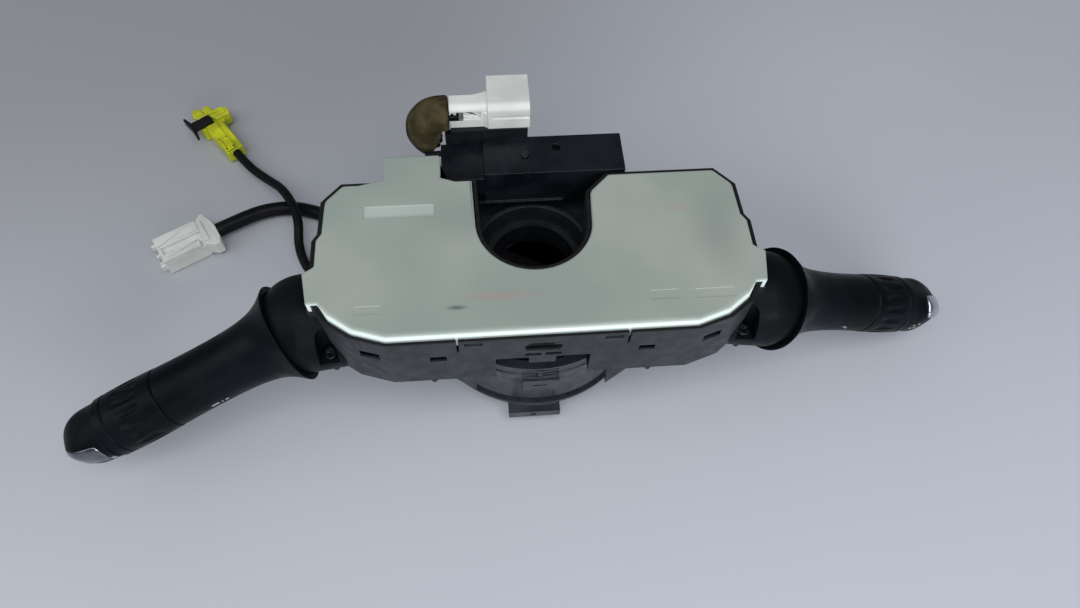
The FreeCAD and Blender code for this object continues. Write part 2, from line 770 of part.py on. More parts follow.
def make_case_screws():
    screws = []
    head_height = 2.2
    for side in (-1, 1):
        x = side * case_screw_x
        seat = V(x, case_screw_south, case_seat_z)
        stem = rod(case_screw_radius, V(x, case_screw_south, case_screw_tip_z), seat)
        head = rod(case_head_radius, seat, seat + V(0, 0, head_height))
        cross = []
        for wide, deep in ((1.6, 0.4), (0.4, 1.6)):
            cross.append(box(x - wide, x + wide, case_screw_south - deep, case_screw_south + deep,
                             case_seat_z + 1.2, case_seat_z + head_height + 1))
        screws.append(join([stem, head]).cut(cross[0].fuse(cross[1])))
        low = V(x, case_screw_north, case_boss_low_z)
        stem = rod(case_screw_radius, low, V(x, case_screw_north, 53.0))
        head = rod(case_head_radius, low - V(0, 0, head_height), low)
        screws.append(join([stem, head]))
    return group(screws)


# Lever pieces in their own frame: X along the lever from the pivot, Y across, Z third

def make_lever(bell_start, bell_radius, neck_end, ring_end):
    inner = dome_radius + bell_gap
    outer = [(bell_start, bell_radius), (bell_start + 1.2, bell_radius - 0.3), (11.5, bell_radius - 2.3), (15.5, 18.0),
             (21.0, 15.6), (27.0, 14.4), (36.0, neck_radius), (neck_end, neck_radius)]
    solid = lathe_x([(bell_start, 0)] + outer + [(neck_end, 0)])
    core = rod(core_radius, V(neck_end - 1, 0, 0), V(ring_end + 1.2, 0, 0))
    body = solid.fuse(core)
    body = body.cut(Part.makeSphere(inner))
    body = body.cut(rod(core_radius - core_wall, V(30.0, 0, 0), V(ring_end + 3, 0, 0)))
    shank = rod(shank_radius, V(0, 0, 0), V(inner + 1.5, 0, 0))
    eye = rod(shank_radius + 0.3, V(0, -eye_half, 0), V(0, eye_half, 0))
    shank = shank.cut(box(-9, 9, eye_half, 20, -20, 20)).cut(box(-9, 9, -20, -eye_half, -20, 20))
    body = body.fuse([shank, eye])
    body = body.cut(rod(pin_radius + running_fit, V(0, -20, 0), V(0, 20, 0)))
    return body.removeSplitter()


def make_ring(neck_end, ring_end):
    start = neck_end + lever_gap
    stop = ring_end - lever_gap
    profile = [(start, core_radius + running_fit), (start, neck_radius), (start + 1.5, ring_radius - 0.2),
               ((start + stop) / 2, ring_radius), (stop - 2.0, ring_radius), (stop, ring_radius - 0.5),
               (stop, core_radius + running_fit)]
    body = lathe_x(profile)
    for k in range(grip_grooves):
        groove = rod(1.5, V(start + 5.5, 0, ring_radius + 0.7), V(stop - 6.0, 0, ring_radius + 0.7))
        body = body.cut(turned(groove, 360.0 * k / grip_grooves, ORIGIN, X_AXIS))
    return body


def knob_profile(ring_end, lever_end, shrink):
    start = ring_end + lever_gap
    length = lever_end - start
    outer = [(start + share * length, r) for share, r in ((0.0, 13.9), (0.24, 13.3), (0.48, 12.0), (0.7, 10.2),
                                                          (0.87, 7.8))]
    outer += [(lever_end - 0.9, 5.2), (lever_end, 2.5)]
    grown = [(t - (shrink if i > 4 else 0), r - shrink) for i, (t, r) in enumerate(outer)]
    return lathe_x([(start, 0)] + grown + [(lever_end - shrink, 0)])


def make_knob(ring_end, lever_end, mark):
    body = knob_profile(ring_end, lever_end, 0.0)
    seat = ring_end + 1.2
    body = body.cut(rod(core_radius + lever_gap, V(ring_end, 0, 0), V(seat + lever_gap, 0, 0)))
    stem = rod(core_radius - core_wall - running_fit, V(seat - 14.0, 0, 0), V(seat + 2.0, 0, 0))
    stem = stem.cut(rod(rod_radius, V(0, 0, 0), V(seat - 6.0, 0, 0)))
    body = body.fuse(stem)
    body = body.cut(trim_block(ring_end, lever_end, mark, 0.0))
    return body.removeSplitter()


def trim_block(ring_end, lever_end, mark, shrink):
    block = box(ring_end + 9.0 + shrink, lever_end + 2, -5.2 + shrink, 5.2 - shrink, 4.0, 20.0)
    block = block.cut(knob_profile(ring_end, lever_end, 1.6 - shrink))
    return turned(block, mark, ORIGIN, X_AXIS)


def make_trim(ring_end, lever_end, mark):
    return knob_profile(ring_end, lever_end, -0.15).common(trim_block(ring_end, lever_end, mark, 0.1))


def make_switch_rod(ring_end):
    return rod(rod_radius - 0.05, V(32.0, 0, 0), V(ring_end - 4.9, 0, 0)).fuse(
        rod(6.0, V(34.0, 0, 0), V(42.0, 0, 0)))


def make_cross_pin():
    reach = eye_half + cheek_gap + cheek_thick
    return rod(pin_radius, V(0, -reach, 0), V(0, reach, 0))


# Turn carrier in the frame of its heading: X outward, Y across, Z up

def make_carrier():
    inner = eye_half + cheek_gap
    outer = inner + cheek_thick
    top = carrier_height + carrier_plate
    frame = box(-carrier_back, carrier_front, -outer, outer, -top, top)
    room = box(-carrier_back + 4.0, carrier_front + 1, -inner, inner, -carrier_height, carrier_height)
    frame = frame.cut(room).common(rod(plunger_reach - 0.8, V(0, 0, -top), V(0, 0, top)))
    for z in (-1, 1):
        frame = frame.fuse(rod(trunnion_radius, V(0, 0, z * (top - 0.5)), V(0, 0, z * trunnion_reach)))
    frame = frame.cut(rod(pin_radius, V(0, -20, 0), V(0, 20, 0)))
    well = rod(plunger_radius + 0.1, V(-carrier_back - 1, 0, 0), V(-carrier_back + 3.0, 0, 0))
    return frame.cut(well).removeSplitter()


def make_plunger():
    stem = rod(plunger_radius, V(-plunger_reach + 1.2, 0, 0), V(-carrier_back + 0.8, 0, 0))
    nose = Part.makeCone(0.6, plunger_radius, 1.2, V(-plunger_reach, 0, 0), X_AXIS)
    return stem.fuse(nose).removeSplitter()


def make_spring():
    helix_radius = 1.3
    coils = []
    for k in range(3):
        x = -carrier_back + 1.1 + 0.7 * k
        coils.append(Part.makeTorus(helix_radius, 0.3, V(x, 0, 0), X_AXIS))
    tie = rod(0.3, V(-carrier_back + 0.8, helix_radius, 0), V(-carrier_back + 3.0, helix_radius, 0))
    return coils[0].fuse(coils[1:] + [tie]).removeSplitter()


# Clock spring: drum case, rotor and the parts that ride on it

def make_clock_spring_case():
    foot = rim_bottom_z
    profile = [(case_inner_radius, foot), (rim_radius, foot), (rim_radius, foot + 1.4), (49.6, foot + 1.4),
               (49.6, foot + 4.6), (51.2, foot + 4.6), (drum_waist, foot + 14.0), (drum_waist, foot + 20.0),
               (drum_radius, foot + 28.4), (drum_radius, 43.4), (drum_radius - 0.5, 43.4),
               (drum_radius - 0.5, drum_top_z - 1.0), (drum_radius, drum_top_z - 1.0),
               (drum_radius, drum_top_z), (case_inner_radius, drum_top_z)]
    body = lathe_z(profile)
    disc_top = back_plate_z + back_plate_thick
    disc = rod(case_inner_radius + 1, V(0, 0, back_plate_z), V(0, 0, disc_top))
    disc = disc.cut(rod(sleeve_radius + 1.0, V(0, 0, back_plate_z - 1), V(0, 0, disc_top + 1)))
    body = body.fuse(disc)
    lug = box(-14.6, 10.0, -56.5, -case_inner_radius - 0.5, foot - 5.0, foot)
    lug = lug.cut(rod(case_inner_radius + 3.2, V(0, 0, foot - 6), V(0, 0, foot)))
    lug = lug.cut(box(-4.0, -1.8, -60, -52, foot - 3.6, foot - 1.6))
    block = box(-8.0, 8.6, -53.6, -48.5, 31.5, 41.0)
    block = block.cut(box(-3.4, 3.0, -54, -52.4, 35.6, 37.0))
    slots = [box(x, x + 7.0, -53, -50.6, 41.8, 45.4) for x in (-8.2, 1.0)]
    slots.append(box(-8.2, 8.2, -53, -50.6, 46.4, 48.4))
    body = body.fuse([lug, block])
    for slot in slots:
        body = body.cut(slot)
    for sx in (-1, 1):
        for sy in (-1, 1):
            post = rod(drum_post_radius, V(sx * drum_post_x, sy * drum_post_y, 44.0),
                       V(sx * drum_post_x, sy * drum_post_y, housing_floor_z))
            post = post.cut(rod(case_inner_radius + 0.2, V(0, 0, 40), V(0, 0, 60)))
            body = body.fuse(post)
            body = body.cut(rod(1.5, V(sx * drum_post_x, sy * drum_post_y, 43.0),
                                V(sx * drum_post_x, sy * drum_post_y, 56.0)))
    return body


def make_clock_spring_screws():
    screws = []
    for sx in (-1, 1):
        for sy in (-1, 1):
            foot = V(sx * drum_post_x, sy * drum_post_y, 44.0)
            stem = rod(1.5, foot, foot + V(0, 0, 17.0))
            head = rod(2.9, foot - V(0, 0, 2.0), foot)
            screws.append(join([stem, head]))
    return group(screws)


def make_rotor():
    hub_gap = 0.1
    inner = sleeve_radius + hub_gap
    profile = [(inner, 0.0), (hub_radius, 0.0), (hub_radius, flange_z1), (rotor_drum_radius, flange_z1),
               (rotor_drum_radius, 36.5), (inner, 36.5)]
    body = lathe_z(profile)
    body = body.cut(pipe(rotor_drum_radius - 2.0, inner + 2.0, V(0, 0, flange_z1 - 3), V(0, 0, 40)))
    return body.removeSplitter()


def make_rotor_flange():
    body = pipe(flange_radius, hub_radius + running_fit, V(0, 0, flange_z0), V(0, 0, flange_z1))
    for angle in (90, 270):
        pocket = turned(box(32.0, 46.0, -12.0, 12.0, flange_z0 - 1, flange_z1 + 1), angle)
        body = body.cut(pocket)
    return body


def make_drive_lugs():
    lug = box(lug_x0, lug_x1, -lug_half, lug_half, 0.0, flange_z0)
    return group([lug, turned(lug, 180)])


def make_rotor_sleeve():
    plate_top = back_plate_z + back_plate_thick
    body = pipe(sleeve_radius, bore_inner, ORIGIN, V(0, 0, sleeve_top))
    retainer = pipe(sleeve_radius + 2.6, bore_inner + 1, V(0, 0, plate_top + 0.3), V(0, 0, sensor_z0 - 0.3))
    dog = box(bore_inner + 0.3, sleeve_radius - 0.3, -dog_half, dog_half, sleeve_top - 0.5, dog_top)
    return join([body, retainer] + [turned(dog, a) for a in dog_angles])


def make_rotor_socket(width, angle):
    body = box(33.0, 45.0, -width, width, 0.0, flange_z1 - 0.2)
    flange = box(32.2, 45.8, -width - 0.8, width + 0.8, flange_z1 - 2.0, flange_z1 - 0.2)
    mouth = box(34.6, 43.4, -width + 1.6, width - 1.6, -1.0, 8.0)
    body = body.fuse(flange).cut(mouth)
    pins = [box(38.6, 39.4, y - 0.4, y + 0.4, 4.6, 8.5) for y in (-5.0, 0.0, 5.0)]
    return turned(join([body] + pins), angle)


def spiral_edges(start_radius):
    edges = []
    step = ribbon_pitch / 2
    for k in range(2 * ribbon_turns):
        radius = start_radius + k * step
        upper = k % 2 == 0
        centre = 0.0 if upper else step
        sign = 1 if upper else -1
        first = V(centre + sign * radius, 0, ribbon_z0)
        middle = V(centre, sign * radius, ribbon_z0)
        last = V(centre - sign * radius, 0, ribbon_z0)
        edges.append(Part.Arc(first, middle, last).toShape())
    return edges


def make_ribbon_cable():
    inner = spiral_edges(ribbon_start)
    outer = spiral_edges(ribbon_start + ribbon_thick)
    begin = Part.LineSegment(V(ribbon_start, 0, ribbon_z0), V(ribbon_start + ribbon_thick, 0, ribbon_z0)).toShape()
    reach = ribbon_start + ribbon_turns * ribbon_pitch
    end = Part.LineSegment(V(reach, 0, ribbon_z0), V(reach + ribbon_thick, 0, ribbon_z0)).toShape()
    wire = Part.Wire(Part.__sortEdges__(inner + outer + [begin, end]))
    ribbon = Part.Face(wire).extrude(V(0, 0, ribbon_z1 - ribbon_z0))
    start_tab = box(rotor_drum_radius, ribbon_start + ribbon_thick / 2, -1.5, 1.5, ribbon_z0 + 6, ribbon_z1 - 6)
    start_tab = start_tab.cut(rod(rotor_drum_radius, ORIGIN, V(0, 0, 50)))
    end_tab = box(reach, case_inner_radius + 1, -2.0, 2.0, ribbon_z0 + 6, ribbon_z1 - 6)
    end_tab = end_tab.common(rod(case_inner_radius, ORIGIN, V(0, 0, 50)))
    return ribbon.fuse([start_tab, end_tab])


# Angle sensor: a drive gear on the sleeve turns two smaller gears of unlike tooth counts

def gear(teeth, z0, z1, bore, phase):
    pitch_radius = gear_module * teeth / 2
    tip = pitch_radius + gear_module * 0.9
    root = pitch_radius - gear_module * 1.15
    half_pitch = math.pi / teeth / 2
    slack = backlash / pitch_radius / 2
    points = []
    for k in range(teeth):
        middle = 2 * math.pi * k / teeth + math.radians(phase)
        for radius, spread in ((root, 1.55), (tip, 0.42), (tip, -0.42), (root, -1.55)):
            a = middle - spread * half_pitch + math.copysign(slack, spread)
            points.append((radius * math.cos(a), radius * math.sin(a)))
    body = plate(points, z0, z1)
    return body.cut(rod(bore, V(0, 0, z0 - 1), V(0, 0, z1 + 1)))


def make_drive_gear():
    wheel = gear(drive_teeth, gear_z0, gear_z1, bore_inner, 0.0)
    hub = pipe(sleeve_radius + 0.2, bore_inner, V(0, 0, drive_gear_z0), V(0, 0, drive_gear_z1))
    body = wheel.fuse(hub)
    for angle in dog_angles:
        slot = box(bore_inner - 1, sleeve_radius + 0.1, -dog_half - 0.1, dog_half + 0.1, drive_gear_z0 - 1, dog_top + 0.1)
        body = body.cut(turned(slot, angle))
    return body.removeSplitter()


def follower_centre(teeth, angle):
    distance = gear_module * (drive_teeth + teeth) / 2
    a = math.radians(angle)
    return V(distance * math.cos(a), distance * math.sin(a), 0)


def follower_phase(teeth, angle):
    pitch = 360.0 / teeth
    drive_pitch = 360.0 / drive_teeth
    drive_offset = (angle % drive_pitch) / drive_pitch
    return angle + 180.0 + pitch * (0.5 + drive_offset)


def make_follower(teeth, angle):
    wheel = gear(teeth, gear_z0, gear_z1, gear_pin_radius + running_fit, follower_phase(teeth, angle))
    floor = sensor_z0 + sensor_wall
    hub = rod(4.2, V(0, 0, floor + 0.25), V(0, 0, magnet_z0))
    bore = rod(gear_pin_radius + running_fit, V(0, 0, floor), V(0, 0, gear_pin_top + 0.2))
    body = wheel.fuse(hub).cut(bore).removeSplitter()
    body.translate(follower_centre(teeth, angle))
    return body


def make_sensor_case():
    floor_top = sensor_z0 + sensor_wall
    board_foot = sensor_z1 - board_drop - sensor_board_thick
    body = rod(sensor_radius, V(0, 0, sensor_z0), V(0, 0, sensor_z1))
    body = body.cut(rod(sensor_radius - sensor_wall, V(0, 0, floor_top), V(0, 0, sensor_z1 + 1)))
    body = body.cut(rod(sleeve_radius + 0.5, V(0, 0, sensor_z0 - 1), V(0, 0, floor_top + 1)))
    for teeth, angle in ((teeth_a, angle_a), (teeth_b, angle_b)):
        c = follower_centre(teeth, angle)
        body = body.fuse(rod(gear_pin_radius, V(c.x, c.y, floor_top - 0.5), V(c.x, c.y, gear_pin_top)))
    for angle in (30, 90, 150, 270):
        post = box(sensor_radius - 7, sensor_radius - sensor_wall + 0.2, -2.5, 2.5, floor_top - 0.5, board_foot)
        post = turned(post, angle)
        body = body.fuse(post)
    return body.removeSplitter()


def make_sensor_lid():
    body = rod(sensor_radius, V(0, 0, sensor_z1), V(0, 0, housing_floor_z))
    body = body.cut(rod(sleeve_radius + 1.2, V(0, 0, sensor_z1 - 1), V(0, 0, housing_floor_z + 1)))
    body = body.cut(pin_slot(sensor_z1 - 1, housing_floor_z + 1))
    for teeth, angle in ((teeth_a, angle_a), (teeth_b, angle_b)):
        c = follower_centre(teeth, angle)
        body = body.cut(box(c.x - 3, c.x + 3, c.y - 3, c.y + 3, sensor_z1 - 1, sensor_z1 + 1.0))
    return body.removeSplitter()


def make_sensor_board():
    top = sensor_z1 - board_drop
    body = pipe(sensor_radius - sensor_wall - 0.3, 26.5, V(0, 0, top - sensor_board_thick), V(0, 0, top))
    chips = []
    for teeth, angle in ((teeth_a, angle_a), (teeth_b, angle_b)):
        c = follower_centre(teeth, angle)
        chips.append(box(c.x - 2.2, c.x + 2.2, c.y - 2.2, c.y + 2.2, top, top + 0.9))
    return group([body] + chips)


def make_sensor_pins():
    foot = sensor_z1 - board_drop
    strip = box(pin_strip_x - 1.3, pin_strip_x + 1.3, -6.0, 6.0, foot, foot + 4.2)
    pins = []
    for y in (-4.5, -1.5, 1.5, 4.5):
        pins.append(box(pin_strip_x - 0.3, pin_strip_x + 0.3, y - 0.3, y + 0.3, foot + 4.0, board_z))
    return join([strip] + pins)


def make_magnets():
    discs = []
    for teeth, angle in ((teeth_a, angle_a), (teeth_b, angle_b)):
        c = follower_centre(teeth, angle)
        discs.append(rod(3.0, V(c.x, c.y, magnet_z0), V(c.x, c.y, magnet_z0 + magnet_height)))
    return discs


# Lead block, leads and their plugs

def make_lead_block():
    points = [(-62.0, 18.0), (-57.0, 18.0), (-46.0, 12.0), (-40.0, 34.0), (-48.0, 42.0), (-54.5, 41.0), (-62.0, 30.0)]
    block = plate(points, rim_bottom_z + 2.0, rim_bottom_z + 16.0)
    block = block.cut(rod(drum_radius + case_fit, V(0, 0, 0), V(0, 0, drum_top_z)))
    collars = []
    for route, radius in ((horn_route, horn_lead_radius), (airbag_route, airbag_lead_radius)):
        heading = V(route[1] - route[0]).normalize()
        collars.append(rod(radius + 1.0, route[0] - heading * 9.0, route[0]))
    body = join([block] + collars)
    for route, radius in ((horn_route, horn_lead_radius), (airbag_route, airbag_lead_radius)):
        heading = V(route[1] - route[0]).normalize()
        body = body.cut(rod(radius + 0.3, route[0], route[0] + heading * 15.0))
    return body.cut(rod(drum_radius + case_fit, V(0, 0, 0), V(0, 0, drum_top_z)))


def aim(shape, route):
    heading = route[-1] - route[-2]
    copy = turned(shape, math.degrees(math.atan2(heading.y, heading.x)))
    copy.translate(route[-1])
    return copy


def make_horn_plug():
    collar = box(0, 9.0, -11.0, 11.0, -4.5, 5.5)
    body = box(8.0, 32.0, -8.6, 8.6, -6.0, 6.0)
    body = body.cut(box(12.0, 33.0, -2.6, 2.0, 3.8, 7.0))
    body = body.cut(box(20.0, 33.0, -6.4, 6.4, -3.6, 2.4))
    prongs = [box(31.0, 34.0, y - 0.9, y + 0.9, -2.0, 2.0) for y in (-7.4, 7.4)]
    prongs += [box(31.0, 34.0, y - 0.9, y + 0.9, -5.8, -3.8) for y in (-2.8, 2.8)]
    plug = join([collar, body] + prongs)
    return aim(plug, horn_route)


def make_airbag_plug():
    body = box(0, 27.0, -5.4, 5.4, -5.0, 5.0)
    shoulder = box(24.0, 33.0, -7.5, 7.5, -5.6, 5.6)
    head = box(32.0, 40.0, -5.0, 5.0, -4.6, 4.6)
    ears = [rod(3.4, V(29.0, side * 9.0, -4.0), V(29.0, side * 9.0, 4.0)) for side in (-1, 1)]
    tips = [rod(2.4, V(39.0, side * 3.6, -3.6), V(39.0, side * 3.6, 3.6)) for side in (-1, 1)]
    plug = join([body, shoulder, head] + ears + tips)
    slot = box(25.0, 31.2, -13.2, 1.0, 3.2, 8.0).fuse(box(20.0, 37.0, -13.2, -11.4, 0.0, 8.0))
    window = box(5.0, 9.5, -6.0, 2.0, 3.6, 6.0)
    plug = plug.cut(slot).cut(window)
    return aim(plug, airbag_route)


def make_airbag_lock():
    bar = box(25.2, 31.0, -9.4, 0.8, 3.3, 6.6)
    wing = box(20.5, 36.5, -13.0, -11.6, 1.2, 6.6)
    arm = box(25.2, 31.0, -12.0, -9.0, 4.2, 6.6)
    return aim(join([bar, wing, arm]), airbag_route)


# Build and write every piece

def main():
    save("rear_cover", make_rear_cover())
    save("switch_housing", make_switch_housing())
    save("circuit_board", make_circuit_board())
    save("board_parts", make_board_parts())
    save("board_header", make_board_header())
    save("harness_bracket", make_harness_bracket())
    save("bracket_screws", make_bracket_screws())
    save("top_connector_base", make_top_connector_base())
    save("top_connector", make_top_connector())
    save("top_wires", make_top_wires())
    save("foam_sleeve", make_foam_sleeve())
    save("case_screws", make_case_screws())
    left_sizes = (left_bell_start, left_bell_radius, left_neck_end, left_ring_end, left_lever_end, left_trim_turn)
    right_sizes = (right_bell_start, right_bell_radius, right_neck_end, right_ring_end, right_lever_end,
                   right_trim_turn)
    levers = (("left", -1, left_azimuth, left_descent, left_turn_low, 0.0, left_sizes),
              ("right", 1, right_azimuth, right_descent, right_turn_low, right_turn_high, right_sizes))
    for name, side, azimuth, descent, low, high, sizes in levers:
        bell_start, bell_radius, neck_end, ring_end, lever_end, mark = sizes
        flat, along, across = lever_frame(side, azimuth, descent)
        shell = case_shell(low, high, pull_range, azimuth, descent)
        if side > 0:
            shell = mirrored(case_shell(-high, -low, pull_range, azimuth, descent))
        upper, lower = split_case(shell)
        save(f"{name}_case_upper", upper)
        save(f"{name}_case_lower", lower)
        save(f"{name}_detent_block", make_detent_block(side))
        centre = pivot(side)
        for piece, shape in (("lever", make_lever(bell_start, bell_radius, neck_end, ring_end)),
                             ("ring", make_ring(neck_end, ring_end)),
                             ("knob", make_knob(ring_end, lever_end, mark)),
                             ("knob_trim", make_trim(ring_end, lever_end, mark)),
                             ("switch_rod", make_switch_rod(ring_end))):
            save(f"{name}_{piece}", place(shape, along, across, centre))
        for piece, shape in (("carrier", make_carrier()), ("cross_pin", make_cross_pin()),
                             ("detent_plunger", make_plunger()), ("detent_spring", make_spring())):
            save(f"{name}_{piece}", place(shape, flat, across, centre))
    save("clock_spring_case", make_clock_spring_case())
    save("clock_spring_screws", make_clock_spring_screws())
    save("rotor", make_rotor())
    save("rotor_flange", make_rotor_flange())
    save("drive_lugs", make_drive_lugs())
    save("rotor_sleeve", make_rotor_sleeve())
    save("rotor_airbag_socket", make_rotor_socket(10.0, 90))
    save("rotor_horn_socket", make_rotor_socket(8.0, 270))
    save("ribbon_cable", make_ribbon_cable())
    save("sensor_case", make_sensor_case())
    save("sensor_lid", make_sensor_lid())
    save("sensor_board", make_sensor_board())
    save("sensor_pins", make_sensor_pins())
    save("sensor_drive_gear", make_drive_gear())
    save("sensor_gear_a", make_follower(teeth_a, angle_a))
    save("sensor_gear_b", make_follower(teeth_b, angle_b))
    magnet_a, magnet_b = make_magnets()
    save("magnet_a", magnet_a)
    save("magnet_b", magnet_b)
    save("lead_block", make_lead_block())
    horn_path = rounded_path(horn_route, "horn lead")
    airbag_path = rounded_path(airbag_route, "airbag lead")
    save("horn_lead", swept(horn_path, horn_lead_radius, horn_route))
    save("airbag_lead", swept(airbag_path, airbag_lead_radius, airbag_route))
    save("horn_plug", make_horn_plug())
    save("airbag_plug", make_airbag_plug())
    save("airbag_plug_lock", make_airbag_lock())


main()
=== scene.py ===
# Steering column switch module: cover, housing, levers, drum, shelf, connectors and leads
import bpy
import bmesh
import json
import numpy as np
from mathutils import Matrix, Vector
from mathutils.geometry import tessellate_polygon


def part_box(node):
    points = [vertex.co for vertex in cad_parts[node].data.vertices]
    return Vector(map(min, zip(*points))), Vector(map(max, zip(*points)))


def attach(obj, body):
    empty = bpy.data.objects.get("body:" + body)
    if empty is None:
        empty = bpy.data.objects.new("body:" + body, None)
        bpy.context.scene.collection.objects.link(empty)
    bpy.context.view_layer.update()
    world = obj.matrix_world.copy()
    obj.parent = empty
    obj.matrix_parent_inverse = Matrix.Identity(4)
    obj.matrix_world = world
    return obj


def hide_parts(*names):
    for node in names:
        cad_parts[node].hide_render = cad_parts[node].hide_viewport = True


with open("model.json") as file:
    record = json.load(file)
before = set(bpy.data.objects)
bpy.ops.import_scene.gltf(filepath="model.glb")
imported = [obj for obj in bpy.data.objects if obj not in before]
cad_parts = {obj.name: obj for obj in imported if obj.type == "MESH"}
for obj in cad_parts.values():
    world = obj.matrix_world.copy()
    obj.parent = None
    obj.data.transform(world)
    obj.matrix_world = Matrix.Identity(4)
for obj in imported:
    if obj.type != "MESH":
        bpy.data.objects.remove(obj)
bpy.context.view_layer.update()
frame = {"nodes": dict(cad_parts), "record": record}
mm = 0.001


# Finishes
# base and tint are mixed by large soft patches, grain is fine bump, rough runs between two values.
# the height band is painted light: a height of full colour, a height of none and the colour; the spot list holds real
# stains and patches of painted shade and light, each x, y, half sizes, colour, strength.

bumpHeight = 0.0002  # metres
blotchRatio = 3.7  # roughness blotches for each colour patch

finishes = {
    "cover": dict(base=(0.310, 0.366, 0.330), tint=(0.400, 0.440, 0.392),
            patch=11, grain=900, depth=0.03, rough=(0.24, 0.40),
            # painted highlight: pale mint on the cover's rounded lower edge and sides, full below 89.0 mm, fading out
            # by 89.8 mm, where the edge catches the window light
            paintedLightBand=(0.0890, 0.0898, (0.86, 0.98, 0.94)),
            stainsAndPaintedLight=((-0.016, -0.037, 0.016, 0.0022, (0.42, 0.30, 0.28), 0.6),
                    (-0.034, -0.0415, 0.0045, 0.0012, (0.10, 0.12, 0.12), 0.8),
                    (0.063, 0.003, 0.006, 0.003, (0.44, 0.33, 0.33), 0.4),
                    # the first three spots are real stains and marks; the last two are painted shade, darker soft
                    # zones where the parts inside show as shadows through the milky cover
                    (-0.030, 0.004, 0.022, 0.014, (0.22, 0.27, 0.25), 0.45),
                    (0.078, -0.010, 0.012, 0.026, (0.24, 0.28, 0.26), 0.5))),
    "housing": dict(base=(0.0110, 0.0148, 0.0190), tint=(0.0180, 0.0225, 0.0275),
            patch=60, grain=2200, depth=0.25, rough=(0.40, 0.56),
            # painted shade: the housing turns near black above 88.5 mm, darkening its rim top next to the cover
            paintedLightBand=(0.0885, 0.0879, (0.0015, 0.0020, 0.0028)), shine=0.45),
    "case": dict(base=(0.0022, 0.0032, 0.0045), tint=(0.0045, 0.0060, 0.0078),
            patch=40, grain=2600, depth=0.30, rough=(0.40, 0.52), shine=0.08),
    "lever": dict(base=(0.0016, 0.0024, 0.0038), tint=(0.0034, 0.0048, 0.0068),
            patch=35, grain=3000, depth=0.20, rough=(0.34, 0.46), shine=0.08),
    "shelf": dict(base=(0.0030, 0.0044, 0.0066), tint=(0.0085, 0.0110, 0.0145),
            patch=70, grain=1800, depth=0.08, rough=(0.22, 0.34), shine=0.26),
    "black": dict(base=(0.0045, 0.0048, 0.0060), tint=(0.0090, 0.0095, 0.0115),
            patch=90, grain=2000, depth=0.15, rough=(0.35, 0.5), shine=0.22),
    "white": dict(base=(0.74, 0.76, 0.72), tint=(0.62, 0.645, 0.61),
            patch=60, grain=1500, depth=0.06, rough=(0.32, 0.48)),
    "yellow": dict(base=(0.66, 0.70, 0.014), tint=(0.44, 0.47, 0.014),
            patch=110, grain=1500, depth=0.08, rough=(0.28, 0.42)),
    "drum": dict(base=(0.030, 0.036, 0.043), tint=(0.018, 0.023, 0.028),
            patch=60, grain=1800, depth=0.12, rough=(0.26, 0.42)),
    "rotor": dict(base=(0.006, 0.0075, 0.010), tint=(0.012, 0.014, 0.018),
            patch=60, grain=1800, depth=0.12, rough=(0.30, 0.45), shine=0.45),
    "steel": dict(base=(0.42, 0.43, 0.45), tint=(0.34, 0.35, 0.37),
            patch=200, grain=3500, depth=0.10, rough=(0.24, 0.40), metallic=1.0),
    "darkSteel": dict(base=(0.060, 0.064, 0.072), tint=(0.035, 0.038, 0.044),
            patch=300, grain=3500, depth=0.10, rough=(0.28, 0.42), metallic=1.0),
    "chrome": dict(base=(0.58, 0.61, 0.65), tint=(0.46, 0.49, 0.54),
            patch=120, grain=2500, depth=0.01, rough=(0.10, 0.18), metallic=1.0),
    "darkChrome": dict(base=(0.20, 0.21, 0.23), tint=(0.13, 0.14, 0.16),
            patch=120, grain=2500, depth=0.01, rough=(0.10, 0.16), metallic=1.0),
    "brass": dict(base=(0.70, 0.52, 0.22), tint=(0.60, 0.44, 0.18),
            patch=200, grain=2500, depth=0.03, rough=(0.2, 0.3), metallic=1.0),
    "board": dict(base=(0.004, 0.022, 0.012), tint=(0.008, 0.034, 0.018),
            patch=220, grain=900, depth=0.05, rough=(0.25, 0.4)),
    "gear": dict(base=(0.62, 0.62, 0.57), tint=(0.54, 0.54, 0.50),
            patch=60, grain=1500, depth=0.06, rough=(0.35, 0.5)),
    "film": dict(base=(0.36, 0.18, 0.05), tint=(0.28, 0.14, 0.04),
            patch=60, grain=900, depth=0.03, rough=(0.2, 0.3)),
    "magnet": dict(base=(0.14, 0.14, 0.15), tint=(0.10, 0.10, 0.11),
            patch=200, grain=2500, depth=0.05, rough=(0.3, 0.4), metallic=1.0),
    "cable": dict(base=(0.0026, 0.0030, 0.0038), tint=(0.0050, 0.0055, 0.0066),
            patch=120, grain=1400, depth=0.20, rough=(0.36, 0.5), shine=0.12),
    "foam": dict(base=(0.074, 0.061, 0.030), tint=(0.036, 0.029, 0.014),
            patch=150, grain=1100, depth=1.0, rough=(0.88, 0.98), shine=0.1),
    "mark": dict(base=(0.52, 0.54, 0.54), tint=(0.38, 0.40, 0.40),
            patch=400, grain=900, depth=0.02, rough=(0.4, 0.5)),
}


def mapRange(nodes, links, value, low, high, start=0.35, stop=0.65):
    node = nodes.new("ShaderNodeMapRange")
    node.interpolation_type = "SMOOTHSTEP"
    node.inputs["From Min"].default_value = start
    node.inputs["From Max"].default_value = stop
    node.inputs["To Min"].default_value = low
    node.inputs["To Max"].default_value = high
    links.new(value, node.inputs["Value"])
    return node.outputs["Result"]


def noise(nodes, links, where, scale, detail):
    node = nodes.new("ShaderNodeTexNoise")
    node.inputs["Scale"].default_value = scale
    node.inputs["Detail"].default_value = detail
    links.new(where, node.inputs["Vector"])
    return node.outputs["Fac"]


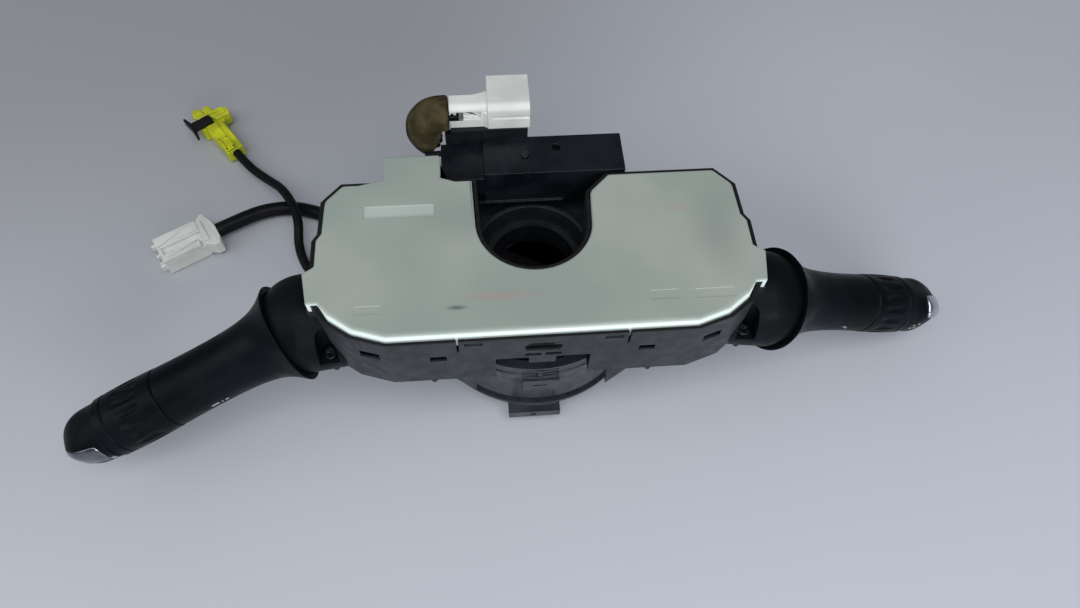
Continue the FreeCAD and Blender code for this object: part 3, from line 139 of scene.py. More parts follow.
def mixColour(nodes, links, factor, first, second):
    node = nodes.new("ShaderNodeMix")
    node.data_type = "RGBA"
    links.new(factor, node.inputs["Factor"])
    for socket, colour in ((node.inputs[6], first), (node.inputs[7], second)):
        if isinstance(colour, tuple):
            socket.default_value = (*colour, 1)
        else:
            links.new(colour, socket)
    return node.outputs[2]


# soft spot: the distance from its middle, measured in its half sizes, eased from full strength to none
def stainAndPaintedLightSpot(nodes, links, where, x, y, halfX, halfY, strength):
    shift = nodes.new("ShaderNodeMapping")
    shift.inputs["Location"].default_value = (-x / halfX, -y / halfY, 0)
    shift.inputs["Scale"].default_value = (1 / halfX, 1 / halfY, 0)
    links.new(where, shift.inputs["Vector"])
    length = nodes.new("ShaderNodeVectorMath")
    length.operation = "LENGTH"
    links.new(shift.outputs["Vector"], length.inputs[0])
    return mapRange(nodes, links, length.outputs["Value"], strength, 0, 0.1, 1.3)


def makeFinish(name, look):
    material = bpy.data.materials.new(name)
    material.use_nodes = True
    nodes, links = material.node_tree.nodes, material.node_tree.links
    shader = nodes["Principled BSDF"]
    where = nodes.new("ShaderNodeTexCoord").outputs["Object"]
    patches = mapRange(nodes, links, noise(nodes, links, where, look["patch"], 3), 0, 1)
    colour = mixColour(nodes, links, patches, look["base"], look["tint"])
    for x, y, halfX, halfY, shade, strength in look.get("stainsAndPaintedLight", ()):
        colour = mixColour(nodes, links, stainAndPaintedLightSpot(nodes, links, where, x, y, halfX, halfY, strength), colour, shade)
    if "paintedLightBand" in look:
        full, none, shade = look["paintedLightBand"]
        height = nodes.new("ShaderNodeSeparateXYZ")
        links.new(where, height.inputs["Vector"])
        ends = (0, 1, none, full) if none < full else (1, 0, full, none)
        colour = mixColour(nodes, links, mapRange(nodes, links, height.outputs["Z"], *ends), colour, shade)
    links.new(colour, shader.inputs["Base Color"])
    blotch = noise(nodes, links, where, look["patch"] * blotchRatio, 4)
    links.new(mapRange(nodes, links, blotch, *look["rough"]), shader.inputs["Roughness"])
    bump = nodes.new("ShaderNodeBump")
    bump.inputs["Strength"].default_value = look["depth"]
    bump.inputs["Distance"].default_value = bumpHeight
    links.new(noise(nodes, links, where, look["grain"], 2), bump.inputs["Height"])
    links.new(bump.outputs["Normal"], shader.inputs["Normal"])
    shader.inputs["Metallic"].default_value = look.get("metallic", 0.0)
    shader.inputs["Specular IOR Level"].default_value = look.get("shine", 0.5)
    return material


finish = {name: makeFinish(name, look) for name, look in finishes.items()}
print("finishes", len(finish))

# Camera at the angle of the photograph
right = Vector((0.99653, -0.07860, 0.02729))
up = Vector((0.05453, 0.86474, 0.49925))
forward = Vector((0.06284, 0.49604, -0.86603))
turn = Matrix((right, up, -forward)).transposed()
camera = bpy.data.objects.new("camera", bpy.data.cameras.new("camera"))
camera.matrix_world = Matrix.Translation((-0.020343, -0.196800, 0.360420)) @ turn.to_4x4()
camera.data.lens = 26.0
camera.data.sensor_width = 36.0
camera.data.clip_start = 0.01
bpy.context.scene.collection.objects.link(camera)
bpy.context.scene.camera = camera
bpy.context.scene.view_settings.view_transform = "Standard"
print("camera placed")

# Surfaces worked out as arrays

mergeGap = 0.000002  # metres
flatWeight = 90


# flat faces keep their own shade beside rounded edges
def levelShading(thing):
    weighted = thing.modifiers.new("level shading", "WEIGHTED_NORMAL")
    weighted.keep_sharp = True
    weighted.weight = flatWeight


def meshPiece(name, corners, faces, look, body, nodesReplaced=(), sharpAngle=35):
    mesh = bpy.data.meshes.new(name)
    mesh.from_pydata(np.asarray(corners).reshape(-1, 3).tolist(), [], faces)
    edit = bmesh.new()
    edit.from_mesh(mesh)
    bmesh.ops.remove_doubles(edit, verts=edit.verts, dist=mergeGap)
    bmesh.ops.recalc_face_normals(edit, faces=edit.faces)
    edit.to_mesh(mesh)
    edit.free()
    mesh.shade_smooth()
    mesh.set_sharp_from_angle(angle=np.radians(sharpAngle))
    mesh.materials.append(look if isinstance(look, bpy.types.Material) else finish[look])
    thing = bpy.data.objects.new(name, mesh)
    bpy.context.scene.collection.objects.link(thing)
    levelShading(thing)
    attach(thing, body)
    if nodesReplaced:
        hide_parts(*nodesReplaced)
    return thing


# quads between the rows and columns of a grid of points; a closed way joins its last line to its first
def gridFaces(rows, columns, closedRows, closedColumns, first=0):
    index = np.arange(rows * columns).reshape(rows, columns) + first
    if closedColumns:
        index = np.hstack([index, index[:, :1]])
    if closedRows:
        index = np.vstack([index, index[:1]])
    quads = np.stack([index[:-1, :-1], index[:-1, 1:], index[1:, 1:], index[1:, :-1]], -1)
    return quads.reshape(-1, 4).tolist()


# smooth step from 0 to 1 between two values
def ease(value, low, high):
    t = np.clip((value - low) / (high - low), 0, 1)
    return t * t * (3 - 2 * t)


# smooth curve through corners, by a Catmull-Rom spline
def smoothWalk(corners, each=8):
    p = np.array(corners, float)
    p = np.vstack([2 * p[0] - p[1], p, 2 * p[-1] - p[-2]])
    t = np.linspace(0, 1, each, endpoint=False)[None, :, None]
    a, b, c, d = (p[k:len(p) - 3 + k, None, :] for k in range(4))
    curve = 0.5 * (2 * b + (c - a) * t + (2 * a - 5 * b + 4 * c - d) * t ** 2 + (3 * b - a - 3 * c + d) * t ** 3)
    return np.vstack([curve.reshape(-1, p.shape[1]), p[-2]])


# Leads and foam

leadSmoothness, leadSteps = 6, 16
leads = {
    "horn": dict(radius=3.9, length=0.1282, stiffness="medium", route=(
        (-56, 36, 20), (-72, 46.5, 18), (-90, 58.5, 10.5), (-108, 71, 4.8), (-127, 78.5, 4.1), (-143, 77, 4.6),
        (-155.5, 70, 6.1), (-167, 63.5, 6.1))),
    "airbag": dict(radius=2.5, length=0.1613, stiffness="limp", route=(
        (-61, 24, 19), (-80, 24.5, 15), (-101, 25, 6.5), (-115.5, 33.5, 2.9), (-123, 49.5, 4.8), (-122, 66, 12),
        (-131.5, 85, 12), (-144, 98, 6.2), (-154.5, 107.5, 5.7), (-163, 119, 5.7))),
}


def makeLead(name):
    plan = leads[name]
    curve = bpy.data.curves.new(name + "Lead", "CURVE")
    curve.dimensions = "3D"
    curve.bevel_depth = plan["radius"] * mm
    curve.bevel_resolution = leadSmoothness
    curve.resolution_u = leadSteps
    curve.use_fill_caps = True
    spline = curve.splines.new("NURBS")
    spline.points.add(len(plan["route"]) - 1)
    points = np.column_stack([np.array(plan["route"]) * mm, np.ones(len(plan["route"]))])
    spline.points.foreach_set("co", points.ravel())
    spline.order_u = 3
    spline.use_endpoint_u = True
    curve.materials.append(finish["cable"])
    thing = bpy.data.objects.new(name + "LeadSleeve", curve)
    bpy.context.scene.collection.objects.link(thing)
    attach(thing, "module")
    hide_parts(name + "_lead")


# tube round a smooth path; frames from the path's direction and one fixed side way
def tubeGrid(path, radius, columns, sideWay):
    along = np.gradient(path, axis=0)
    along /= np.linalg.norm(along, axis=1)[:, None]
    side = np.array(sideWay) - along * (along @ np.array(sideWay))[:, None]
    side /= np.linalg.norm(side, axis=1)[:, None]
    third = np.cross(along, side)
    angle = np.linspace(0, 2 * np.pi, columns, endpoint=False)[None, :, None]
    return path[:, None] + radius[..., None] * (np.cos(angle) * side[:, None] + np.sin(angle) * third[:, None])


# sleeve of soft foam round a straight run and a turn; radius is a rounded start and end and shallow waves
foamPlan = dict(start=-34.5, bend=(-37.3, 51.6, 92.6), turn=9.0, sweep=145.0, radius=7.9, bore=3.96,
                arcSteps=46, leadSteps=8, columns=96)


def makeFoam():
    p = foamPlan
    x, y, z = p["bend"]
    sweep = np.radians(90 + np.linspace(0, p["sweep"], p["arcSteps"]))
    arc = np.stack([x + p["turn"] * np.cos(sweep), np.full(len(sweep), y), z + p["turn"] * np.sin(sweep)], 1)
    leadX = np.linspace(p["start"], x, p["leadSteps"] + 1)[:-1]
    lead = np.stack([leadX, np.full(len(leadX), y), np.full(len(leadX), z + p["turn"])], 1)
    path = np.vstack([lead, arc])
    s = np.linspace(0, 1, len(path))[:, None]
    angle = np.linspace(0, 2 * np.pi, p["columns"], endpoint=False)[None, :]
    waves = 0.14 * np.sin(3 * angle + 9 * s) + 0.10 * np.sin(5 * angle - 21 * s + 1)
    waves = 0.8 * (waves + 0.08 * np.sin(9 * angle + 34 * s))
    firstEnd = 0.86 + 0.14 * np.sqrt(1 - (1 - np.clip(s / 0.10, 0, 1)) ** 2)
    lastEnd = 0.90 + 0.10 * np.sqrt(1 - (1 - np.clip((1 - s) / 0.05, 0, 1)) ** 2)
    outer = tubeGrid(path, p["radius"] * firstEnd * lastEnd + waves, p["columns"], (0, 1, 0))
    inner = tubeGrid(path[::-1], np.full((len(path), p["columns"]), p["bore"]), p["columns"], (0, 1, 0))
    points = mm * np.vstack([outer, np.roll(inner[:, ::-1], 1, 1)])
    faces = gridFaces(*points.shape[:2], True, True)
    thing = meshPiece("foamSleeve", points, faces, "foam", "module", ["foam_sleeve"])


makeFoam()
print("foam made")

nodeFinish = {
    "rear_cover": "cover", "switch_housing": "housing", "circuit_board": "board", "board_parts": "black",
    "board_header": "black", "harness_bracket": "shelf", "bracket_screws": "darkSteel", "case_screws": "darkSteel",
    "top_connector_base": "black", "top_connector": "white", "top_wires": "cable", "foam_sleeve": "foam",
    "clock_spring_case": "drum", "clock_spring_screws": "steel", "rotor": "rotor", "rotor_flange": "rotor",
    "drive_lugs": "rotor", "rotor_sleeve": "rotor",
    "rotor_airbag_socket": "yellow", "rotor_horn_socket": "black", "ribbon_cable": "film", "sensor_case": "rotor",
    "sensor_lid": "rotor", "sensor_board": "board", "sensor_pins": "brass", "sensor_drive_gear": "rotor",
    "sensor_gear_a": "gear", "sensor_gear_b": "gear", "magnet_a": "magnet", "magnet_b": "magnet",
    "lead_block": "black", "horn_lead": "cable", "airbag_lead": "cable", "horn_plug": "white",
    "airbag_plug": "yellow", "airbag_plug_lock": "black",
}
for side in ("left", "right"):
    for piece, name in (("case_upper", "case"), ("case_lower", "case"), ("detent_block", "gear"), ("lever", "lever"),
                        ("ring", "lever"), ("knob", "lever"), ("knob_trim", "chrome"), ("switch_rod", "steel"),
                        ("carrier", "gear"), ("cross_pin", "steel"), ("detent_plunger", "gear"),
                        ("detent_spring", "steel")):
        nodeFinish[f"{side}_{piece}"] = name
for node, name in nodeFinish.items():
    mesh = frame["nodes"][node].data
    mesh.materials.clear()
    mesh.materials.append(finish[name])
print("cad nodes dressed", len(nodeFinish))

# A CAD node whose shape is right is copied, merged, its flat faces joined, and its sharp edges rounded a little.
# Each row is the finish, the width of the rounding in millimetres and the material slot.

nodeBody = {node: body for body, nodes in frame["record"]["behaviour"]["bodies"].items() for node in nodes}
softEdges = {
    "switch_housing": ("housing", 0.28, "housing_plastic"),
    "harness_bracket": ("shelf", 0.25, "bracket_plastic"),
    "clock_spring_case": ("drum", 0.22, "drum_plastic"),
    "top_connector_base": ("black", 0.25, "black_plastic"),
    "top_connector": ("white", 0.35, "white_connector"),
    "lead_block": ("black", 0.4, "black_plastic"),
    "left_case_upper": ("case", 0.3, "case_plastic"),
    "left_case_lower": ("case", 0.3, "case_plastic"),
    "right_case_upper": ("case", 0.3, "case_plastic"),
    "right_case_lower": ("case", 0.3, "case_plastic"),
    "rotor": ("rotor", 0.25, "rotor_plastic"),
    "rotor_flange": ("rotor", 0.25, "rotor_plastic"),
    "drive_lugs": ("rotor", 0.25, "rotor_plastic"),
    "rotor_sleeve": ("rotor", 0.2, "rotor_plastic"),
    "case_screws": ("darkSteel", 0.15, "screw_steel"),
    "bracket_screws": ("darkSteel", 0.15, "screw_steel"),
    "clock_spring_screws": ("steel", 0.15, "screw_steel"),
}


softPlan = dict(merge=0.00002, flatAngle=0.7, sharpAngle=28, shadeAngle=32, stray=0.00005)


def softCopy(node, look, width, slotName):
    mesh = frame["nodes"][node].data.copy()
    mesh.name = node + "Soft"
    edit = bmesh.new()
    edit.from_mesh(mesh)
    bmesh.ops.remove_doubles(edit, verts=edit.verts, dist=softPlan["merge"])
    flat = np.radians(softPlan["flatAngle"])
    bmesh.ops.dissolve_limit(edit, angle_limit=flat, verts=edit.verts, edges=edit.edges)
    limit = np.radians(softPlan["sharpAngle"])
    sharp = [e for e in edit.edges if len(e.link_faces) == 2 and e.calc_face_angle(0) > limit]
    bmesh.ops.bevel(edit, geom=sharp, offset=width * mm, offset_type="OFFSET", segments=2, profile=0.6,
                    affect="EDGES", clamp_overlap=False)
    low, high = (np.array(corner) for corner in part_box(node))
    corners = np.array([v.co for v in edit.verts])
    inside = np.clip(corners, low, high)
    strayed = np.abs(inside - corners).max()
    if strayed > softPlan["stray"]:
        print("stray corners pulled back on", node, round(1000 * strayed, 2))
    for corner, spot in zip(edit.verts, inside):
        corner.co = spot
    bmesh.ops.triangulate(edit, faces=edit.faces)
    edit.to_mesh(mesh)
    edit.free()
    mesh.materials.clear()
    mesh.materials.append(finish[look])
    mesh.shade_smooth()
    mesh.set_sharp_from_angle(angle=np.radians(softPlan["shadeAngle"]))
    thing = bpy.data.objects.new(node + "Soft", mesh)
    bpy.context.scene.collection.objects.link(thing)
    levelShading(thing)
    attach(thing, nodeBody[node])
    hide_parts(node)
    return thing


soft = {node: softCopy(node, *plan) for node, plan in softEdges.items()}
print("edges rounded on", len(soft), "nodes")

# Rear cover
# The outline is a polygon whose corners are quadratic curves.
# Each next loop is the outline moved inwards by a mitred offset.

coverPlan = dict(top=90.0, under=88.6, skirt=8.0, earDepth=6.0, wall=1.4, edgeSouth=3.2, edgeOther=0.9,
                 edgeRamp=(-44, -38.5), arcRadius=25.1, arcRounding=30.0, arcSteps=24, bendSteps=9, lip=0.2,
                 wallBand=(22.9, 25.25), earWall=(92.3, 94.15), earEnds=(-37, -17), earInner=89.4, earFoot=-36)
halfOutline = [
    (62.2, -54.3, 6), (75.9, -49.8, 8), (85.2, -42.9, 5), (89.2, -36.2, 0.5), (92.25, -36.2, 0), (92.35, -36.2, 0),
    (94.0, -36.2, 0.9), (96.4, -21.5, 1.2), (94.2, -20.07, 0), (94.1, -20.0, 0), (92.6, -19.0, 1.0),
    (91.7, -18.2, 0.6), (91.7, -5.5, 2), (89.6, -2.0, 2), (89.1, 14.5, 5), (81.9, 22.7, 3),
]
notchSide = [(34.7, 22.7, 2), (25.9, 13.9, 4)]
topTab = [(-25.9, 22.7, 0.6), (-33.0, 22.7, 1.0), (-39.5, 25.2, 0.8), (-39.5, 25.3, 0), (-39.5, 38.0, 1.4),
          (-64.7, 38.0, 1.4), (-64.7, 25.3, 0), (-64.7, 25.2, 0.8), (-75.0, 22.7, 1.5)]


# corners (x, y, rounding) to a smooth closed loop, each corner a quadratic curve between its two tangent points
def roundedLoop(corners, samples=7):
    corners = np.array(corners, float)
    here, rounding = corners[:, :2], corners[:, 2]
    back, ahead = np.roll(here, 1, 0) - here, np.roll(here, -1, 0) - here
    lengthBack, lengthAhead = np.linalg.norm(back, axis=1), np.linalg.norm(ahead, axis=1)
    back, ahead = back / lengthBack[:, None], ahead / lengthAhead[:, None]
    turnAngle = np.pi - np.arccos(np.clip((back * ahead).sum(1), -1, 1))
    reach = np.minimum(rounding * np.tan(turnAngle / 2) + 1e-4, 0.45 * np.minimum(lengthBack, lengthAhead))[:, None]
    first, last = (here + back * reach)[:, None], (here + ahead * reach)[:, None]
    s = np.linspace(0, 1, samples)[None, :, None]
    return ((1 - s) ** 2 * first + 2 * s * (1 - s) * here[:, None] + s ** 2 * last).reshape(-1, 2)


# loop moved inwards by distance (one value or one for each point)
def inwards(loop, distance):
    ahead = np.roll(loop, -1, 0) - loop
    ahead /= np.linalg.norm(ahead, axis=1)[:, None]
    normal = np.stack([-ahead[:, 1], ahead[:, 0]], 1)
    before = np.roll(normal, 1, 0)
    middle = normal + before
    middle /= np.linalg.norm(middle, axis=1)[:, None]
    stretch = 1 / np.clip((middle * normal).sum(1), 0.4, 1)
    return loop + middle * (stretch * np.broadcast_to(distance, len(loop)))[:, None]


def coverLoop():
    p = coverPlan
    sweep = -np.linspace(0, np.pi, p["arcSteps"] + 1)
    rounding = np.full(len(sweep), p["arcRounding"])
    arc = np.stack([p["arcRadius"] * np.cos(sweep), p["arcRadius"] * np.sin(sweep), rounding], 1)
    west = [(-x, y, r) for x, y, r in reversed(halfOutline)]
    return roundedLoop(np.vstack([halfOutline, notchSide, arc, topTab, west]))


# recess and shallow panels in the top: x from and to, y from and to, depth
coverMarks = [(-72.4, -42.2, 4.3, 10.7, 0.45), (-74.8, -63.8, -42.6, -38.5, 0.18), (44.2, 56.4, -42.7, -38.1, 0.18),
              (62.8, 79.4, -43.1, -38.5, 0.18)]
markEdge = dict(rounding=0.8, samples=5, ways=((0, 0), (0.12, -0.06)), last=(0.3, 0.45), rise=0.04)


def makeCover():
    p = coverPlan
    outline = coverLoop()
    x, y = np.abs(outline[:, 0]), outline[:, 1]
    edge = p["edgeSouth"] + (p["edgeOther"] - p["edgeSouth"]) * ease(y, *p["edgeRamp"])
    ear = (y > p["earEnds"][0]) & (y < p["earEnds"][1]) & (x > p["earInner"])
    beforeCorner = ~((y < p["earFoot"]) & (x > p["earWall"][0]))
    overWall = (y > p["wallBand"][0]) & (y < p["wallBand"][1])
    crossing = overWall | (ear & (x < p["earWall"][1]) & beforeCorner)
    foot = np.where(ear, p["top"] - p["earDepth"], p["top"] - p["skirt"])
    foot = np.where(crossing, p["under"], foot)
    lip = np.minimum(foot + p["lip"], p["under"])
    steps = [(p["wall"], np.full(len(x), p["under"])), (p["wall"], foot), (p["lip"], foot), (0.0, lip)]
    loops = [np.column_stack([inwards(outline, offset), height]) for offset, height in steps]
    bend = np.linspace(0, np.pi / 2, p["bendSteps"])
    loops += [np.column_stack([inwards(outline, edge * (1 - np.cos(a))), p["top"] - edge * (1 - np.sin(a))])
              for a in bend]
    rows, columns = len(loops), len(outline)
    points = [mm * np.array(loops).reshape(-1, 3)]
    faces = gridFaces(rows, columns, False, True) + [list(range(columns))]
    count = rows * columns
    topLoops = [[Vector((x, y, 0)) for x, y, z in loops[-1]]]
    topIndex = list(range(count - columns, count))
    for x0, x1, y0, y1, depth in coverMarks:
        r = markEdge["rounding"]
        mark = roundedLoop([(x0, y0, r), (x1, y0, r), (x1, y1, r), (x0, y1, r)], markEdge["samples"])
        nearly, deepest = markEdge["last"]
        ways = [*markEdge["ways"], (nearly, -depth + markEdge["rise"]), (deepest, -depth)]
        rings = [np.column_stack([inwards(mark, offset), np.full(len(mark), p["top"] + drop)])
                 for offset, drop in ways]
        points.append(mm * np.array(rings).reshape(-1, 3))
        faces += gridFaces(len(rings), len(mark), False, True, count)
        topLoops.append([Vector((x, y, 0)) for x, y in mark])
        topIndex += list(range(count, count + len(mark)))
        count += len(rings) * len(mark)
        faces.append(list(range(count - len(mark), count)))
    faces += [[topIndex[k] for k in triangle] for triangle in tessellate_polygon(topLoops)]
    return meshPiece("rearCover", np.vstack(points), faces, "cover", "module", ["rear_cover"])


makeCover()
print("rear cover made")

# Plugs
# Each plug is a set of slabs in its own frame, in millimetres: u from the cord's end to the tip, v to its left, w up.
# A slab is its outline (u, v, rounding), its lowest and highest w, and the radius of the round on both edges.

plugPlan = {
    "horn": dict(look="white", slotName="white_connector", replaces=["horn_plug"], slabs=(
        (((0.6, -4.5, 1), (2.2, -8.0, 1), (2.6, -11.4, 0.6), (4.6, -11.6, 0.8), (8.6, -8.4, 0.6),
          (8.6, 8.4, 0.6), (4.6, 11.6, 0.8), (1.2, 11.4, 0.6), (0.2, 7.0, 1), (0.0, 0.0, 1)), -4.4, 4.9, 0.7),
        (((5.6, -7.2, 0.5), (8.4, -7.6, 0.5), (8.4, 7.6, 0.5), (5.6, 7.2, 0.5)), 4.0, 5.6, 0.4),
        (((8.0, -8.6, 0.8), (31.6, -8.6, 0.8), (31.6, 8.6, 0.8), (8.0, 8.6, 0.8)), -6.0, 3.6, 0.6),
        (((8.0, -8.6, 0.8), (31.6, -8.6, 0.8), (31.6, -0.6, 0.5), (8.0, -0.6, 0.5)), 3.0, 6.0, 0.7),
        (((10.6, 4.2, 0.4), (31.6, 4.2, 0.5), (31.6, 8.6, 0.8), (10.6, 8.6, 0.8)), 3.0, 5.8, 0.7),
        (((29.6, -0.9, 0.3), (31.6, -0.9, 0.3), (31.6, 4.4, 0.3), (29.6, 4.4, 0.3)), 3.0, 4.6, 0.3),
        (((31.0, -8.3, 0.3), (34.0, -8.1, 0.5), (34.0, -6.6, 0.5), (31.0, -6.4, 0.3)), -2.0, 2.0, 0.4),
        (((31.0, 6.4, 0.3), (34.0, 6.6, 0.5), (34.0, 8.1, 0.5), (31.0, 8.3, 0.3)), -2.0, 2.0, 0.4),
        (((31.0, -3.7, 0.3), (34.0, -3.6, 0.5), (34.0, -2.0, 0.5), (31.0, -1.9, 0.3)), -4.4, -1.4, 0.4),
        (((31.0, 1.9, 0.3), (34.0, 2.0, 0.5), (34.0, 3.6, 0.5), (31.0, 3.7, 0.3)), -4.4, -1.4, 0.4),
    )),
    "airbag": dict(look="yellow", slotName="yellow_plastic", replaces=["airbag_plug"], slabs=(
        (((0.0, -5.0, 0.6), (25.0, -5.4, 0.6), (25.0, 5.4, 0.6), (0.0, 5.0, 0.6)), -5.0, 3.1, 0.6),
        (((2.0, -0.8, 0.5), (9.0, -1.4, 0.5), (19.5, -1.4, 0.6), (25.0, -2.0, 0.6), (25.0, 4.6, 0.6),
          (2.0, 4.6, 0.6)), 2.6, 4.2, 0.5),
        (((0.2, -1.0, 0.4), (11.0, -1.2, 0.5), (11.0, 0.4, 0.3), (0.2, 0.4, 0.3)), 3.6, 5.0, 0.4),
        (((0.2, 3.2, 0.3), (11.0, 3.2, 0.3), (11.0, 4.8, 0.5), (0.2, 4.6, 0.4)), 3.6, 5.0, 0.4),
        (((0.0, -1.0, 0.4), (2.6, -1.0, 0.4), (2.6, 4.8, 0.4), (0.0, 4.6, 0.4)), 3.6, 5.0, 0.4),
        (((9.4, -1.2, 0.4), (11.6, -1.2, 0.4), (11.6, 4.8, 0.4), (9.4, 4.8, 0.4)), 3.6, 5.0, 0.4),
        (((24.0, -7.4, 1.2), (33.0, -7.4, 1.2), (33.0, 7.4, 1.2), (24.0, 7.4, 1.2)), -5.6, 3.0, 0.8),
        (((25.4, -11.6, 1.6), (31.0, -12.2, 2.4), (33.6, -8.4, 1.6), (33.2, -2.2, 0.8), (31.4, -0.4, 0.5),
          (26.0, -3.0, 1.0)), -3.6, 5.2, 0.9),
        (((27.2, -10.0, 0.8), (31.2, -10.2, 0.8), (31.6, -7.0, 0.8), (27.6, -6.4, 0.8)), 4.6, 6.0, 0.5),
        (((31.4, -4.0, 0.8), (34.0, -4.0, 0.8), (34.4, 6.0, 0.8), (31.6, 6.4, 0.8)), -4.6, 5.4, 0.7),
        (((33.0, -5.0, 0.8), (38.6, -5.2, 1.6), (41.0, -3.6, 1.4), (41.0, -1.2, 1.0), (38.4, 0.2, 1.0),
          (33.0, 0.2, 0.6)), -4.2, 3.4, 0.8),
        (((33.0, 0.4, 0.6), (38.8, 0.6, 1.2), (41.2, 2.4, 1.4), (41.0, 5.4, 1.4), (38.0, 6.6, 1.6),
          (33.0, 6.2, 0.8)), -4.4, 4.6, 0.9),
    )),
    "lock": dict(look="black", slotName="black_plastic", replaces=["airbag_plug_lock"], route="airbag", slabs=(
        (((25.2, -0.8, 0.4), (31.0, -0.8, 0.4), (31.0, 10.6, 0.4), (25.2, 10.6, 0.4)), 3.3, 6.1, 0.4),
        (((26.4, 1.0, 0.3), (29.8, 1.0, 0.3), (29.8, 7.6, 0.3), (26.4, 7.6, 0.3)), 5.8, 6.6, 0.3),
        (((20.6, 11.9, 0.3), (21.4, 11.4, 0.3), (25.2, 10.4, 0.5), (31.0, 10.4, 0.5), (35.6, 11.4, 0.3),
          (36.4, 12.0, 0.3), (35.8, 12.8, 0.3), (28.2, 12.2, 0.5), (21.2, 12.8, 0.3)), 1.2, 6.5, 0.4),
    )),
}


slabCorner, slabBend = 5, 4  # points to a corner, and to a quarter round
plugSharpAngle = 30


def slab(corners, low, high, edge):
    outline = roundedLoop(corners, slabCorner)
    bend = np.linspace(0, np.pi / 2, slabBend)
    ways = [(edge * (1 - np.sin(a)), low + edge * (1 - np.cos(a))) for a in bend]
    ways += [(edge * (1 - np.cos(a)), high - edge * (1 - np.sin(a))) for a in bend]
    return np.array([np.column_stack([inwards(outline, inset), np.full(len(outline), w)]) for inset, w in ways])


def makePlug(name):
    plan = plugPlan[name]
    route = np.array(leads[plan.get("route", name)]["route"], float)
    heading = (route[-1] - route[-2]) / np.linalg.norm(route[-1] - route[-2])
    axes = np.array([heading, (-heading[1], heading[0], 0), (0, 0, 1)])
    points, faces, count = [], [], 0
    for corners, low, high, edge in plan["slabs"]:
        rows = slab(corners, low, high, edge)
        points.append(mm * (route[-1] + rows.reshape(-1, 3) @ axes))
        faces += gridFaces(*rows.shape[:2], False, True, count)
        faces += [list(range(count, count + rows.shape[1]))]
        count += rows.shape[0] * rows.shape[1]
        faces += [list(range(count - rows.shape[1], count))]
    return meshPiece(name + "Plug", np.vstack(points), faces, plan["look"], "module",
                     plan["replaces"], plugSharpAngle)


plugs = {name: makePlug(name) for name in plugPlan}
makeLead("horn")
makeLead("airbag")
print("plugs and leads made")

# Levers
# A lever surface is pivot + t along + up and south radii turned round the lever's line. Angle 0 is up, 90 is south.

leverPlan = {
    "left": dict(
        pivot=(-0.100, -0.028, 0.060), along=(-0.906124, -0.320877, -0.275637), across=(0.333807, -0.942641, 0.0),
        south=1, rimStart=8.5, rimRadius=22.7, neckEnd=68.0, ringStop=97.35, grooveStart=73.5, grooveStop=88.5,
        lineAt=92.3,
        flare=((9.3, 22.45), (10.4, 21.6), (12.2, 20.2), (15.0, 18.35), (19.0, 16.45), (24.0, 15.1), (30.0, 14.25),
               (38.0, 13.75), (48.0, 13.55), (58.0, 13.6), (67.5, 13.8)),
        cap=((97.85, 13.9), (101.5, 13.3), (105, 12.5), (109, 11.3), (112.2, 9.9), (114.8, 8.1), (116.8, 5.6),
             (117.6, 2.6)),
        insert=(101.0, 116.6, 74, 33), lift=0.35, insertLook="darkChrome",
        neckMarks=((44.0, 45.6, 99), (46.8, 47.4, 99), (48.6, 52.2, 98)),
        capMarks=((99.4, 101.4, 96), (99.4, 101.4, 103))),
    "right": dict(
        pivot=(0.100, -0.028, 0.060), along=(0.916427, 0.127161, -0.379456), across=(-0.137445, 0.990509, 0.0),
        south=-1, rimStart=6.3, rimRadius=23.4, neckEnd=62.0, ringStop=87.75, grooveStart=65.5, grooveStop=80.5,
        lineAt=83.2,
        flare=((7.1, 23.15), (8.4, 22.4), (10.4, 21.2), (13.5, 19.3), (17.5, 17.3), (22.5, 15.7), (29.0, 14.6),
               (38.0, 13.9), (48.0, 13.6), (61.5, 13.8)),
        cap=((88.25, 13.9), (92.0, 13.5), (96.5, 12.9), (101.0, 11.9), (105.0, 10.6), (108.5, 9.0), (111.2, 7.2),
             (113.2, 4.8), (114.0, 2.4)),
        insert=(97.0, 113.6, 34, 30), lift=0.9, insertLook="chrome",
        neckMarks=((46.0, 47.6, 93), (48.4, 49.2, 97)),
        capMarks=((92.6, 94.2, 84), (95.6, 97.6, 80), (92.4, 94.0, 96), (95.2, 97.4, 95))),
}
seam = 0.25
bell = dict(lip=0.5, lipStep=0.15, hollow=22.0, bore=8.2, ballSteps=14, flareSteps=5, columns=160)
tail = dict(run=0.1, first=13.7, last=13.5, coreRadius=10.2)
shank = dict(end=21.0, radius=4.9, bore=2.0, columns=40)
gripRing = dict(radius=14.3, bore=10.26, grooves=16, depth=0.95, fade=6.5, width=(0.20, 1.0), lineDepth=0.55,
                lineWidth=0.40, swell=0.35, edgeDrop=0.5, edgeRun=0.7, rows=120, columns=320)
capPlan = dict(squash=0.94, fit=0.985, backRadius=13.5, firstGap=0.35, fineRun=(6.4, 6.0), rows=(44, 30),
               columns=160, boxy=1.3, boxyRun=(1.5, 14), samples=6)
insertPlan = dict(power=0.30, columns=120, topRows=12, topReach=(0.02, 0.88), bendReach=0.9, bendRows=7, sink=0.6,
                  meanRadius=13.0, leastRadius=5.0, mostTurn=1.6, turnShare=0.8, tipGap=0.1)
markPlan = dict(half=0.45, rounding=0.3, samples=4, radius=13.0, ways=((0.0, -0.05), (0.0, 0.03), (0.05, 0.06)))


